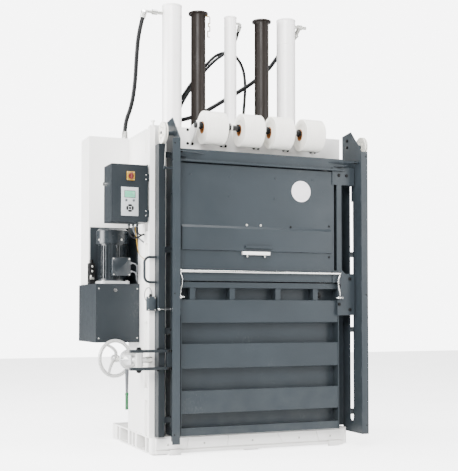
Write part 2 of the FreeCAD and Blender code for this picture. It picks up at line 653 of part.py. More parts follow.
# ---------------------------------------------------------------- hoses
def bent_pipe(points, diameter, name):
    """A round pipe along straight runs joined by tangent arcs.

    Each arc's radius is 0.45 of the shorter run over the tangent of half the turn.
    """
    corners = [Vector(*point) for point in points]
    edges, start, radii = [], corners[0], []
    for i in range(1, len(corners) - 1):
        before, after = corners[i] - corners[i - 1], corners[i + 1] - corners[i]
        run = min(before.Length, after.Length)
        turn = before.getAngle(after)
        reach = 0.45 * run
        ahead, behind = Vector(after).normalize(), Vector(before).normalize()
        first, last = corners[i] - behind * reach, corners[i] + ahead * reach
        radius = reach / math.tan(turn / 2)
        inward = (ahead - behind).normalize()
        middle = corners[i] + inward * (radius / math.cos(turn / 2) - radius)
        edges.append(Part.LineSegment(start, first).toShape())
        edges.append(Part.Arc(first, middle, last).toShape())
        radii.append(round(radius))
        start = last
    edges.append(Part.LineSegment(start, corners[-1]).toShape())
    wire = Part.Wire(edges)
    section = Part.Wire([Part.makeCircle(diameter / 2, corners[0], corners[1] - corners[0])])
    pipe = wire.makePipeShell([section], True, True)
    length = wire.Length
    ideal = math.pi * diameter ** 2 / 4 * length
    print(name, "radii", radii, "length", round(length), "volume ratio",
          round(pipe.Volume / ideal, 4))
    return pipe


LEFT_HOSE = [(-702, -50, 3248), (-738, -38, 3108), (-742, 5, 2935), (-735, 60, 2745),
             (-748, 108, 2570), (-790, 150, 2440), (-790, 150, 2335)]
ARCH_HOSE = [(-424, 150, 2335), (-424, 150, 2430), (-392, 150, 2560), (-320, 150, 2698),
             (-228, 150, 2830), (-130, 150, 2955), (-20, 150, 3066), (110, 150, 3078),
             (192, 150, 2980), (216, 150, 2840), (206, 150, 2680), (190, 150, 2510),
             (190, 150, 2335)]
RETURN_HOSE = [(82, -38, 3230), (86, 12, 3178), (78, 72, 3122), (30, 112, 3062),
               (-80, 116, 2980), (-186, 116, 2856), (-290, 116, 2716), (-372, 116, 2565),
               (-386, 116, 2430), (-386, 116, 2335)]
RIGHT_HOSE = [(-462, 84, 2335), (-462, 84, 2415), (-412, 84, 2478), (-290, 84, 2506),
              (-149, 84, 2573), (3, 84, 2673), (140, 84, 2758), (280, 84, 2858),
              (396, 84, 2962), (480, 84, 3082), (566, 66, 3178), (598, 18, 3234)]


def bar_between(start, end, radius):
    """A straight round bar between two points."""
    first, last = Vector(*start), Vector(*end)
    return Part.makeCylinder(radius, (last - first).Length, first, last - first)


def hoses():
    """Four hydraulic hoses and the fittings at their ends."""
    thick, thin = value("hose_diameter"), value("thin_hose")
    keep(shaped(bent_pipe(LEFT_HOSE, thick, "hose_left")), "hose_left")
    keep(shaped(bent_pipe(ARCH_HOSE, thin, "hose_arch")), "hose_arch")
    keep(shaped(bent_pipe(RETURN_HOSE, thin, "hose_return")), "hose_return")
    keep(shaped(bent_pipe(RIGHT_HOSE, thick, "hose_right")), "hose_right")
    top = value("frame_top")
    fittings = []
    for route, index, size in ((LEFT_HOSE, -1, thick), (ARCH_HOSE, 0, thin),
                               (ARCH_HOSE, -1, thin), (RETURN_HOSE, -1, thin),
                               (RIGHT_HOSE, 0, thick)):
        end = route[index]
        foot = (end[0], end[1], top)
        fittings.append(bar_between(foot, end, 0.7 * size))
    side = value("main_offset + main_diameter / 2")
    row = value("cylinder_row")
    left = [bar_between((-side, row, 3262), (-side - 46, row, 3262), 13),
            bar_between((-side - 46, row, 3262), (-side - 84, row, 3262), 19),
            bar_between((-side - 84, row, 3262), (-side - 136, row, 3262), 11),
            bar_between((-side - 136, row, 3262), LEFT_HOSE[0], 17)]
    right = [bar_between((side, row, 3284), (side + 30, row, 3284), 13),
             bar_between((side + 30, row, 3284), (side + 66, row, 3284), 19),
             bar_between((side + 66, row, 3284), (side + 104, row, 3284), 12),
             bar_between((side + 48, row, 3284), RIGHT_HOSE[-1], 16)]
    edge = value("thin_diameter / 2")
    small = [bar_between((edge, row, 3254), (edge + 34, row, 3254), 9),
             bar_between((edge + 34, row, 3254), RETURN_HOSE[0], 12)]
    for parts in (left, right, small):
        joined = parts[0].fuse(parts[1:])
        for route, index in ((LEFT_HOSE, 0), (RIGHT_HOSE, -1), (RETURN_HOSE, 0)):
            end, near = Vector(*route[index]), Vector(*route[1 if index == 0 else -2])
            along = (near - end).normalize()
            joined = joined.cut(Part.makeCylinder(20, 30, end, along))
        fittings.append(joined.removeSplitter())
    return keep(shaped(Part.makeCompound(fittings)), "hose_fittings")


# ---------------------------------------------------------------- door
def mirrored(span, side):
    """A span across the door, for its right side, or mirrored to its left side."""
    if side > 0:
        return span
    return ("door_left + door_right - (%s)" % span[1], "door_left + door_right - (%s)" % span[0])


def across_door(text, side):
    return text if side > 0 else "door_left + door_right - (%s)" % text


def door_plate(side, name):
    """A folded side plate with a front flange, a guide slot and a pulley axle."""
    low_rear = "door_low" if side > 0 else "base_height + 10"
    outline = [("door_front", "door_low"), ("column_front - 30", "door_low"),
               ("column_front - 30", low_rear + " + 0.01"), ("door_rear", low_rear + " + 0.01"),
               ("door_rear", "rear_height"), ("peak_row", "peak_height"),
               ("door_front", "flange_top")]
    inner = ("door_right", "door_right + plate")
    start = mirrored(inner, side)[0]
    web = profile("YZ", outline, start, "plate")
    middle = "slot_front + slot_width / 2"
    low, high = "slot_low + slot_width / 2", "slot_high - slot_width / 2"
    slot = fuse(block(mirrored(("door_right - 1", "door_right + plate + 1"), side),
                      ("slot_front", "slot_front + slot_width"), (low, high)),
                *[rod("slot_width / 2", mirrored(("door_right - 1", "door_right + 9"),
                                                 side)[0], middle, end, "10", ACROSS)
                  for end in (low, high)])
    flange = block(mirrored(("door_right", "door_right + flange_width"), side),
                   ("door_front", "door_front + plate"), ("door_low", "flange_top"))
    outer = "door_right + plate"
    axle_span = mirrored((outer, outer + " + tube_gap + pulley_inset * 2 + 6"), side)
    axle = rod("10", axle_span[0], "pulley_row", "pulley_height",
               "tube_gap + pulley_inset * 2 + 6", ACROSS)
    collar = rod("16", mirrored((outer, outer + " + tube_gap - gap"), side)[0], "pulley_row",
                 "pulley_height", "tube_gap - gap", ACROSS)
    return keep(fuse(cut(web, slot), flange, axle, collar), name)


def channel(low, high, span):
    """A folded rib across the door, open to the rear."""
    skin = "skin_row - plate"
    outline = [("rib_front", low), (skin, low), (skin, "(%s) + rib_sheet" % low),
               ("rib_front + rib_sheet", "(%s) + rib_sheet" % low),
               ("rib_front + rib_sheet", "(%s) - rib_sheet" % high),
               (skin, "(%s) - rib_sheet" % high), (skin, high), ("rib_front", high)]
    return profile("YZ", outline, span[0], "(%s) - (%s)" % (span[1], span[0]))


def lower_door():
    """The welded lower half: skin, four ribs, top bar, posts and the two stiles."""
    inside = ("stile_left + plate", "stile_right")
    skin = block(("door_left", "stile_right"), ("skin_row - plate", "skin_row"),
                 ("skin_low", "door_top"))
    parts = [channel(str(low), str(high), inside) for low, high in RIBS.values()]
    parts.append(channel("door_top - top_bar", "door_top", inside))
    for across in POSTS:
        parts.append(block(("%d - 20" % across, "%d + 20" % across),
                           ("rib_front + 8", "skin_row - plate"),
                           ("%d" % RIBS["first"][1], "door_top - top_bar")))
    left = block(("stile_left", "stile_left + plate"), ("rib_front - 5", "skin_row"),
                 ("skin_low", "rail_low"))
    right = block(("stile_right", "stile_right + plate"), ("rib_front - 5", "door_rear"),
                  ("skin_low", "rail_low"))
    web = block(("stile_right + plate", "door_right"), ("door_rear - plate", "door_rear"),
                ("skin_low", "rail_low"))
    strip = block(("door_left", "stile_left"), ("skin_row - plate", "skin_row"),
                  ("door_top", "rail_low"))
    return keep(fuse(skin, left, right, web, strip, *parts), "lower_door")


def top_rail():
    """The rail over the filling gate with its flat braces to the side plates."""
    front, rear = "rail_front", "rail_front + 62"
    outline = [(front, "rail_low"), (rear, "rail_low"), (rear, "rail_low + plate"),
               (front + " + plate", "rail_low + plate"),
               (front + " + plate", "rail_high - plate"),
               ("skin_row", "rail_high - plate"), ("skin_row", "rail_high"),
               (front, "rail_high")]
    rail = profile("YZ", outline, "door_left", "rail_right - door_left")
    bar = block(("door_left", "door_right"), ("skin_row - 20", "skin_row"),
                ("rail_low + 40", "rail_high"))
    braces = []
    for side in (-1, 1):
        edge = "door_right"
        corners = [(edge + " - 220", front), (edge + " - 196", front),
                   (edge, "door_front + 52"), (edge, "door_front + 30"),
                   (edge + " - 10", "door_front + 30")]
        outline = [(across_door(a, side), b) for a, b in corners]
        braces.append(profile("XY", outline, "rail_high - 30", "8"))
    return keep(fuse(rail, bar, *braces), "top_rail")


def weight_tubes():
    """The two counterweight tubes; the left one carries the door's pull handle."""
    tubes = []
    low = "base_height + 8"
    for side in (-1, 1):
        near = "door_right + plate + tube_gap"
        span = mirrored((near, near + " + tube_width"), side)
        outer = block(span, ("tube_front", "tube_front + tube_depth"),
                      (low, "tube_top"))
        inner = block((span[0] + " + tube_wall", span[1] + " - tube_wall"),
                      ("tube_front + tube_wall", "tube_front + tube_depth - tube_wall"),
                      (low + " + tube_wall", "tube_top + 1"))
        clips = [block(mirrored(("door_right + plate", near), side),
                       ("slot_front + slot_width + 4", "slot_front + slot_width + 29"),
                       ("%d" % foot, "%d + 40" % foot)) for foot in (230, 850, 1420, 2090)]
        tubes.append(fuse(cut(outer, inner), *clips))
    left_face = value("door_left - plate - tube_gap - tube_width")
    reach, depth = left_face - 86, value("tube_front") + 55
    loop = [(left_face, depth, 1385), (reach, depth, 1385), (reach, depth, 1298),
            (reach + 0.5, depth, 1210), (left_face, depth, 1210)]
    handle = shaped(bent_pipe(loop, 18, "pull_handle"), "PullHandle")
    return keep(group(*tubes, handle), "weight_tubes")


HINGE_HEIGHTS = (330, 1150, 1970)


def hinges():
    """Three door hinges: knuckles on the door, and brackets with pins on the frame."""
    knuckles, brackets = [], []
    outer = "door_right + plate"
    for height in HINGE_HEIGHTS:
        low = "%d - 30" % height
        arm = block((outer, "hinge_across"), ("hinge_row - 45", "door_rear"),
                    (low, "%d + 30" % height))
        eye = rod("24", "hinge_across", "hinge_row", low, "60")
        bore = rod("pin_diameter / 2 + fit_gap", "hinge_across", "hinge_row",
                   low + " - 1", "62")
        knuckles.append(cut(fuse(arm, eye), bore))
        outline = [("base_length / 2", "hinge_row + 45"), ("base_length / 2", "hinge_row + 145"),
                   ("hinge_across + 24", "hinge_row + 40"), ("hinge_across + 24", "hinge_row"),
                   ("hinge_across - 24", "hinge_row"), ("hinge_across - 24", "hinge_row + 35")]
        pieces = [rod("pin_diameter / 2", "hinge_across", "hinge_row", "%d - 66" % height,
                      "132")]
        for start in ("%d - 62" % height, "%d + 30 + gap" % height):
            pieces.append(profile("XY", outline, start, "32 - gap"))
            pieces.append(rod("24", "hinge_across", "hinge_row", start, "32 - gap"))
        brackets.append(fuse(*pieces))
    keep(group(*knuckles), "door_hinges")
    return keep(group(*brackets), "hinge_brackets")


# ---------------------------------------------------------------- door lock
def on_lock(item):
    """Turn a piece drawn along +Y so that it runs from the lock's pin to the wheel."""
    item.Placement = Placement(Vector(), Rotation(UP, value("lock_turn")))
    return place(item, "lock_across", "lock_row", "lock_height")


def along_lock(points):
    """A turned piece whose axis runs along +Y before it is placed."""
    piece = turned(points)
    piece.Placement = Placement(Vector(), Rotation(ACROSS, -90))
    return piece


def door_lock():
    """Arms and pin on the door, the swinging casting, its lever and the handwheel."""
    low, high = "lock_height - lock_arm_gap / 2", "lock_height + lock_arm_gap / 2"
    span, depth = ("lock_across - 62", "door_left - plate"), ("lock_row - 19",
                                                              "lock_row + 19")
    arms = [block(span, depth, (low + " - lock_arm_plate", low)),
            block(span, depth, (high, high + " + lock_arm_plate")),
            block(("door_left - plate - 58", "door_left - plate"), depth, (low, high)),
            rod("lock_pin / 2", "lock_across", "lock_row", low + " - 38",
                "lock_arm_gap + 76")]
    keep(fuse(*arms), "lock_arms")

    eye = rod("27", "0", "0", "-lock_arm_gap / 2 + gap", "lock_arm_gap - 2 * gap")
    cone = along_lock([("0", "14"), ("24", "14"), ("30", "60"), ("50", "120"),
                       ("68", "132"), ("68", "146"), ("lock_bush", "146"),
                       ("lock_bush", "164 - gap"), ("0", "164 - gap")])
    nut = doc.addObject("Part::Prism", "Nut")
    nut.Polygon = 6
    nut.Circumradius = 20
    nut.Height = 84
    nut.Placement = Placement(Vector(20, 0, 0), Rotation(UP, ACROSS))
    pin_bore = rod("lock_pin / 2 + fit_gap", "0", "0", "-80", "160")
    spindle_bore = rod("11 + fit_gap", "0", "60", "0", "120", BACK)
    keep(on_lock(cut(fuse(eye, cone, nut), pin_bore, spindle_bore)), "lock_casting")

    ring = rod("34", "0", "146 + gap", "0", "12", BACK)
    arm = rod("7", "0", "155", "-230", "202")
    ring_bore = rod("lock_bush + fit_gap", "0", "140", "0", "30", BACK)
    grip = rod("12", "0", "155", "-350", "120")
    lever = fuse(cut(fuse(ring, arm), ring_bore), grip)
    keep(on_lock(lever), "lock_lever")

    spindle = rod("11", "0", "80", "0", "222", BACK)
    hub = rod("26", "0", "wheel_reach - 28", "0", "52", BACK)
    collar = tube("24", "11", "0", "164", "0", "34", BACK)
    rim = doc.addObject("Part::Torus", "Rim")
    bind(rim, Radius1="wheel_diameter / 2 - wheel_section / 2", Radius2="wheel_section / 2")
    rim.Placement = Placement(Vector(), Rotation(ACROSS, -90))
    place(rim, "0", "wheel_reach", "0")
    reach = value("wheel_diameter / 2 - wheel_section / 2")
    middle = value("wheel_reach")
    spokes = []
    for i in range(3):
        route = []
        for share, turn, back in ((0.16, 0, -12), (0.45, 10, -26), (0.74, 24, -16),
                                  (1.0, 34, 0)):
            angle = math.radians(90 + 120 * i + turn)
            route.append((share * reach * math.cos(angle), middle + back,
                          share * reach * math.sin(angle)))
        spokes.append(shaped(bent_pipe(route, 16, "spoke"), "Spoke"))
    wheel = fuse(spindle, hub, rim, *spokes)
    return keep(on_lock(group(wheel, collar)), "handwheel")


# ---------------------------------------------------------------- filling gate
def gate_panel():
    """The sliding sheet with its middle band."""
    half = "gate_width / 2"
    sheet_metal = block(("-" + half, half), ("gate_front", "gate_front + gate_sheet"),
                        ("gate_low", "gate_high"))
    outline = [("gate_front", "band_low"), ("gate_front - band_depth", "band_low + 3"),
               ("gate_front - band_depth", "band_high - 18"), ("gate_front", "band_high")]
    band = profile("YZ", outline, "-%s + 26" % half, "gate_width - 52")
    lip = block(("-112", "92"), ("gate_front - band_depth - 16", "gate_front - band_depth"),
                ("band_low + 22", "band_low + 40"))
    return keep(fuse(sheet_metal, band, lip), "gate_panel")


def gate_carriage(side, name):
    """The guide frame on one edge of the gate, with its rope lug and safety bar ear."""
    front, rear = "carriage_row", "gate_front"
    head, shoulder, foot = "gate_high - 95", "gate_low + 66", "gate_low - 244"
    if side > 0:
        edge, outer, top = "gate_width / 2", "door_right - 9", "gate_high + 35"
        corners = [(edge + " - 16", top), (outer, top), (outer, head),
                   ("stile_right + 20", head), ("stile_right + 20", shoulder + " + 30"),
                   ("stile_right + 50", shoulder), (outer, shoulder), (outer, foot),
                   ("stile_right - 16", foot), ("stile_right - 16", "gate_low"),
                   (edge + " - 16", "gate_low"), (edge + " - 16", "gate_low + 88"),
                   (edge + " + 20", "gate_low + 88"), (edge + " + 20", head),
                   (edge + " - 16", head)]
        flange, rear_end = (outer + " - 6", outer), "door_rear - 53"
        ear = ("stile_right + 4", "stile_right + 12")
        pin = ("stile_right - 12", "stile_right + 6")
        boss = (outer, "door_right + plate + 10")
        wedge = "door_right + plate + 6"
    else:
        outer, top = "door_left + 5", "rail_low - 8"
        corners = [(outer, top), (outer + " + 33", top), (outer + " + 33", foot),
                   (outer, foot)]
        flange, rear_end = (outer, outer + " + 6"), "skin_row - 15"
        ear = ("door_left + 10", "door_left + 18")
        pin = ("door_left + 16", "door_left + 38")
        boss = ("door_left - plate - 10", outer + " + 6")
        wedge = "door_left - plate - 12"
    pieces = [profile("XZ", corners, rear, "%s - (%s)" % (rear, front))]
    for low, high in ((head, top), (foot, shoulder)):
        pieces.append(block(flange, (rear, rear_end), (low, high)))
    slot = ("slot_front + 6", "slot_front + slot_width - 6")
    pieces.append(block(boss, slot, ("gate_high - 88", "gate_high + 2")))
    rope_row, rope_height = "tube_front - 18", "gate_high - 43"
    outline = [(rope_row + " - 8", rope_height + " + 10"), (rope_row + " - 8",
               rope_height + " - 12"), ("slot_front + 4", "gate_high - 208"),
               ("slot_front + slot_width - 6", "gate_high - 208"),
               ("slot_front + slot_width - 6", "gate_high + 12"),
               ("slot_front - 4", "gate_high + 12")]
    pieces.append(profile("YZ", outline, wedge, "6"))
    line = "door_right + plate + tube_gap + pulley_inset"
    start = across_door("(%s) + 7" % line, side) if side < 0 else wedge
    pieces.append(rod("6", start, rope_row, rope_height, "tube_gap + pulley_inset - 1",
                      ACROSS))
    eye = across_door(line, side)
    pieces.append(rod("11", "(%s) - 6" % eye, rope_row, rope_height, "12", ACROSS))
    pieces.append(block(ear, ("bail_row - 11", front), ("bail_pivot - 14",
                                                         "bail_pivot + 14")))
    pieces.append(rod("5", pin[0], "bail_row", "bail_pivot",
                      "(%s) - (%s)" % (pin[1], pin[0]), ACROSS))
    return keep(fuse(*pieces), name)


def gate_fittings():
    """The white handle of the gate and the polished safety bar in front of it."""
    face = "gate_front"
    low, high = "band_low - 26", "band_low - 2"
    bar = block(("-134", "79"), (face + " - 30", face + " - 18"), (low, high))
    ends = [block((left, right), (face + " - 20", face), (low, high))
            for left, right in (("-134", "-120"), ("65", "79"))]
    pins = [rod("6", str(x), face + " - 14", low + " - 19", "22") for x in (-96, 41)]
    feet = [block((str(x - 8), str(x + 8)), (face + " - 20", face), (low, low + " + 9"))
            for x in (-96, 41)]
    keep(fuse(bar, *ends, *pins, *feet), "gate_handle")
    bar = rod("bail_diameter / 2", "door_left + 20", "bail_row", "bail_height",
              "stile_right + 2 - (door_left + 20)", ACROSS)
    links = []
    for low in ("door_left + 22", "stile_right - 6"):
        link = block((low, low + " + 8"), ("bail_row - 7", "bail_row + 7"),
                     ("bail_pivot", "bail_height"))
        eye = rod("11", low, "bail_row", "bail_pivot", "8", ACROSS)
        bore = rod("5 + fit_gap", low + " - 1", "bail_row", "bail_pivot", "10", ACROSS)
        links.append(cut(fuse(link, eye), bore))
    return keep(fuse(bar, *links), "safety_bar")


def counterweight_drive():
    """Pulleys, ropes and counterweights that balance the gate on both sides."""
    pulleys, weights, gate_ropes, weight_ropes = [], [], [], []
    line = "door_right + plate + tube_gap + pulley_inset"
    radius = value("rope_radius + rope_diameter / 2")
    row, height = value("pulley_row"), value("pulley_height")
    clevis = Vector(0, value("tube_front - 18"), value("gate_high - 43 + 11.4"))
    centre = Vector(0, row, height)
    away = centre - clevis
    reach = math.sqrt(away.Length ** 2 - radius ** 2)
    lean = math.atan2(away.y, away.z) - math.asin(radius / away.Length)
    for side in (-1, 1):
        middle = across_door(line, side)
        x = value(middle)
        disc = rod("pulley_radius", "(%s) - 12" % middle, "pulley_row", "pulley_height",
                   "24", ACROSS)
        bore = rod("10 + fit_gap", "(%s) - 13" % middle, "pulley_row", "pulley_height",
                   "26", ACROSS)
        groove = doc.addObject("Part::Torus", "Groove")
        bind(groove, Radius1="rope_radius + rope_diameter / 2 + 1",
             Radius2="rope_diameter / 2 + 1.2")
        groove.Placement = Placement(Vector(), Rotation(UP, ACROSS))
        place(groove, middle, "pulley_row", "pulley_height")
        opening = tube("pulley_radius + 1", "rope_radius + 3", "(%s) - 4" % middle,
                       "pulley_row", "pulley_height", "8", ACROSS)
        holes = []
        for i in range(5):
            angle = math.radians(72 * i)
            holes.append(rod("11", "(%s) - 13" % middle,
                             "pulley_row + %.6f" % (40 * math.cos(angle)),
                             "pulley_height + %.6f" % (40 * math.sin(angle)), "26", ACROSS))
        pulleys.append(cut(disc, bore, groove, opening, *holes))
        near = "door_right + plate + tube_gap"
        inner = mirrored((near + " + tube_wall + small_gap",
                          near + " + tube_width - tube_wall - small_gap"), side)
        body = block(inner, ("tube_front + tube_wall + small_gap",
                             "tube_front + tube_depth - tube_wall - small_gap"),
                     ("weight_low", "weight_low + weight_length"))
        rope_row = "pulley_row + rope_radius + rope_diameter / 2"
        stud = rod("5", middle, rope_row + " - 2", "weight_low + weight_length", "20")
        weights.append(fuse(body, stud))
        start = Vector(x, clevis.y, clevis.z)
        heading = Vector(0, math.sin(lean), math.cos(lean))
        gate_ropes.append(Part.makeCylinder(value("rope_diameter / 2"), reach, start, heading))
        top = Vector(x, row + radius, height)
        low = value("weight_low + weight_length + 20")
        weight_ropes.append(Part.makeCylinder(value("rope_diameter / 2"), height - low,
                                              Vector(top.x, top.y, low), UP))
    keep(group(*pulleys), "rope_pulleys")
    keep(group(*weights), "counterweights")
    keep(shaped(Part.makeCompound(gate_ropes)), "gate_ropes")
    print("gate rope top", round(clevis.z + reach * math.cos(lean), 2))
    return keep(shaped(Part.makeCompound(weight_ropes)), "weight_ropes")


def limit_switch():
    """The switch on the column that feels the closed door."""
    left = "-base_length / 2"
    face = "column_front"
    body = block((left + " - 34", left + " + 26"), (face + " - 42", face), ("1010", "1110"))
    neck = block((left + " - 26", left + " + 18"), (face + " - 34", face + " - 6"), ("1110", "1128"))
    bore = rod("4 + fit_gap", left + " - 2", face + " - 20", "1022", "40", ACROSS)
    keep(cut(fuse(body, neck), bore), "limit_switch")
    stem = rod("4", left + " + 4", face + " - 20", "1022",
               "door_left - plate - tube_gap - tube_width - gap - (%s + 4)" % left, ACROSS)
    return keep(stem, "switch_plunger")


# ---------------------------------------------------------------- build and export
def build():
    fill_sheet()
    base_frame()
    sill_plates()
    side_wall(-1, "side_wall_left")
    side_wall(1, "side_wall_right")
    rear_wall()
    top_beam()
    press_cylinders()
    housings()
    power_unit()
    motor()
    control_cabinet()
    ram()
    strap_rolls()
    hoses()
    door_plate(-1, "door_plate_left")
    door_plate(1, "door_plate_right")
    lower_door()
    top_rail()
    weight_tubes()
    hinges()
    door_lock()
    gate_panel()
    gate_carriage(-1, "gate_carriage_left")
    gate_carriage(1, "gate_carriage_right")
    gate_fittings()
    counterweight_drive()
    limit_switch()


def export():
    """Check every object and write each sub-part to its own file."""
    doc.recompute()
    failed = [item.Label for item in doc.Objects
              if "Invalid" in item.State or "Error" in item.State]
    broken = [item.Label for item in NODES
              if item.Shape.isNull() or not item.Shape.isValid() or not item.Shape.Solids]
    if failed or broken:
        raise RuntimeError("failed: %s; broken: %s" % (failed, broken))
    os.makedirs("parts", exist_ok=True)
    for item in NODES:
        item.Shape.exportStep("parts/%s.step" % item.Label)
    print(len(NODES), "sub-parts written")


build()
export()
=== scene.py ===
"""Looks of the recycling baler: finishes for the frame's nodes, and the finer pieces on it.

Metres, +Z up, +X to the right when facing the door, +Y to the rear.
"""

import math

import bpy
import numpy as np
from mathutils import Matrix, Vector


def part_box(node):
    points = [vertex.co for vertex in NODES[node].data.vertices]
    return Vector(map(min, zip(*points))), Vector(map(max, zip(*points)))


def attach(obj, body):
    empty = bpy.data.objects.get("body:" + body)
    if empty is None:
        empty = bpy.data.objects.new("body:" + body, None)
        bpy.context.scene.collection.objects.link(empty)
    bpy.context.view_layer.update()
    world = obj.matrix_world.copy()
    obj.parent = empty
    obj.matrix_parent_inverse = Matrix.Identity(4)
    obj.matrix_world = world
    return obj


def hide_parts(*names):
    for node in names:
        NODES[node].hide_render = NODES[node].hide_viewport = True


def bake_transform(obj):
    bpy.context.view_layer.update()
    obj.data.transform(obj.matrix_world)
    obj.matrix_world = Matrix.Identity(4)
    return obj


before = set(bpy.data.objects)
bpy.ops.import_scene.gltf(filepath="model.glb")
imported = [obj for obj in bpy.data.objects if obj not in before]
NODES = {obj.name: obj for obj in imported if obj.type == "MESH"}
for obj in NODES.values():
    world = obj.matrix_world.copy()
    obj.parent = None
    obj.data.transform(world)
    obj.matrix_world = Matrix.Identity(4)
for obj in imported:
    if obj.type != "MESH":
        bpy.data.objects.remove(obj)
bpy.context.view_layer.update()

bl_info = {
    "name": "Recycling Baler",
    "version": (1, 0, 0),
    "blender": (4, 5, 0),
    "location": "View3D > Sidebar > Baler",
    "description": "Builds the finishes and fine pieces of a vertical recycling baler",
    "category": "Object",
}

X, Y, Z = np.eye(3)
LOCK_TURN = math.radians(14.9)
LOCK_PIN = np.array((-0.898, -0.581, 0.674))

# planes, levels and rows that several pieces share, in metres
BAIL_ROW, BAIL_PIVOT = -0.606, 1.108
RAIL_FRONT, GATE_FRONT, BEAM_FRONT, CYLINDER_ROW = -0.580, -0.582, -0.372, -0.050
DECK_TOP, SKID_TOP = 2.335, 0.132
MAIN_ACROSS, GUIDE_ACROSS = 0.48, 0.267
RIBS = ((0.138, 0.191), (0.295, 0.449), (0.610, 0.775), (0.930, 1.086))


def corners(name):
    """Lowest and highest corners of a node."""
    return (np.array(corner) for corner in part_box(name))


# ---------------------------------------------------------------- shapes
def skin(points, loop=False, caps=True, paint=0):
    """Faces over a grid of points: rows run along the piece, columns close around it."""
    rows, columns = points.shape[:2]
    index = np.arange(rows * columns).reshape(rows, columns)
    if loop:
        index = np.vstack([index, index[:1]])
    wide = np.hstack([index, index[:, :1]])
    quads = np.stack([wide[:-1, :-1], wide[:-1, 1:], wide[1:, 1:], wide[1:, :-1]], -1)
    faces = quads.reshape(-1, 4).tolist()
    if caps and not loop:
        faces += [index[0, ::-1].tolist(), index[-1].tolist()]
    return points.reshape(-1, 3), faces, paint


def square_to(axis):
    """Two unit directions that make a right-handed set with an axis."""
    axis = np.asarray(axis, float) / np.linalg.norm(axis)
    side = np.cross(axis, X if abs(axis[0]) < 0.9 else Y)
    side /= np.linalg.norm(side)
    return side, np.cross(axis, side), axis


def turned(profile, centre, axis=Z, segments=40, loop=False, paint=0, phase=0.0):
    """A turned shape: radius and height of each profile point, carried around an axis."""
    side, up, axis = square_to(axis)
    angle = np.linspace(0, 2 * math.pi, segments, endpoint=False) + phase
    ring = np.cos(angle)[:, None] * side + np.sin(angle)[:, None] * up
    profile = np.asarray(profile, float)
    points = np.asarray(centre) + profile[:, 0, None, None] * ring + \
        profile[:, 1, None, None] * axis
    return skin(points, loop=loop, paint=paint)


def carried(path, radius, sides=12, reference=Z, flat=1.0, paint=0):
    """A round or oval section carried along a path, square to the path at each point."""
    path = np.asarray(path, float)
    along = np.gradient(path, axis=0)
    along /= np.linalg.norm(along, axis=1)[:, None]
    side = np.cross(along, reference)
    side /= np.linalg.norm(side, axis=1)[:, None]
    up = np.cross(along, side)
    angle = np.linspace(0, 2 * math.pi, sides, endpoint=False)
    radius = np.broadcast_to(np.asarray(radius, float), (len(path),))[:, None, None]
    ring = np.cos(angle)[None, :, None] * side[:, None] + \
        flat * np.sin(angle)[None, :, None] * up[:, None]
    return skin(path[:, None] + radius * ring, paint=paint)


def eased(points, samples=24):
    """A smooth path near some points: the quadratic B-spline that they control."""
    points = np.asarray(points, float)
    ends = np.vstack([2 * points[0] - points[1], points, 2 * points[-1] - points[-2]])
    share = np.linspace(0.5, len(points) - 0.5, samples)
    cell = np.minimum(share.astype(int), len(points) - 1)
    t = (share - cell)[:, None]
    return (0.5 * (1 - t) ** 2 * ends[cell] + (0.5 + t - t * t) * ends[cell + 1]
            + 0.5 * t * t * ends[cell + 2])


def slab(low, high, radius, axis=2, paint=0, corner=4):
    """A block with rounded edges.

    A rounded rectangle is carried along an axis. Near each end its corner radius
    follows a quarter circle, which rounds the end's edges by the same radius.
    """
    low, high = np.asarray(low, float), np.asarray(high, float)
    order = [[1, 2, 0], [2, 0, 1], [0, 1, 2]][axis]
    half = ((high - low) / 2)[order]
    turn = np.linspace(0.35, math.pi / 2, corner)
    inset = radius * np.sin(turn)
    rise = radius * (1 - np.cos(turn))
    size = np.concatenate([inset, inset[::-1]])
    height = np.concatenate([rise, 2 * half[2] - rise[::-1]]) - half[2]
    count = corner + 1
    step = np.arange(4 * count)
    angle = (step // count + (step % count) / corner) * math.pi / 2
    middle = (step // count) * math.pi / 2 + math.pi / 4
    across = np.sign(np.cos(middle)) * (half[0] - radius) + size[:, None] * np.cos(angle)
    upward = np.sign(np.sin(middle)) * (half[1] - radius) + size[:, None] * np.sin(angle)
    local = np.stack([across, upward, np.broadcast_to(height[:, None], across.shape)], -1)
    points = np.empty_like(local)
    points[..., order] = local
    return skin(points + (low + high) / 2, paint=paint)


def bolt(point, axis, size=0.012, paint=0, washer=True):
    """A hexagon head with a chamfer, on a round washer. Size is across the corners."""
    point, axis = np.asarray(point, float), np.asarray(axis, float)
    radius, height = size / 2, 0.32 * size
    base = 0.12 * size if washer else 0.0
    head = [(radius, base), (radius, base + 0.8 * height),
            (0.84 * radius, base + height), (0.3 * radius, base + height)]
    parts = [turned(head, point, axis, 6, paint=paint)]
    if washer:
        rim = [(1.25 * radius, 0), (1.25 * radius, 0.8 * base), (1.15 * radius, base)]
        parts.append(turned(rim, point, axis, 16, paint=paint))
    return parts


def screw(point, axis, radius=0.004, paint=0):
    """A domed screw head: its height falls with the square of the distance from its axis."""
    share = np.linspace(1, 0.12, 6)
    profile = np.column_stack([radius * share, 0.55 * radius * (1 - share ** 2)])
    return [turned(profile, point, axis, 14, paint=paint)]


def bead(start, end, radius=0.004, paint=0):
    """A weld bead: a half-buried round bar whose radius swells at each ripple."""
    length = np.linalg.norm(np.subtract(end, start))
    share = np.linspace(0, 1, max(6, int(length / 0.006)))
    path = np.outer(1 - share, start) + np.outer(share, end)
    swell = radius * (0.86 + 0.14 * np.abs(np.sin(np.arange(len(share)) * 1.9)))
    swell *= np.minimum(1, 8 * np.minimum(share, 1 - share) + 0.35)
    heading = np.subtract(end, start)
    return carried(path, swell, 8, X if abs(heading[0]) < 0.5 * length else Z, paint=paint)


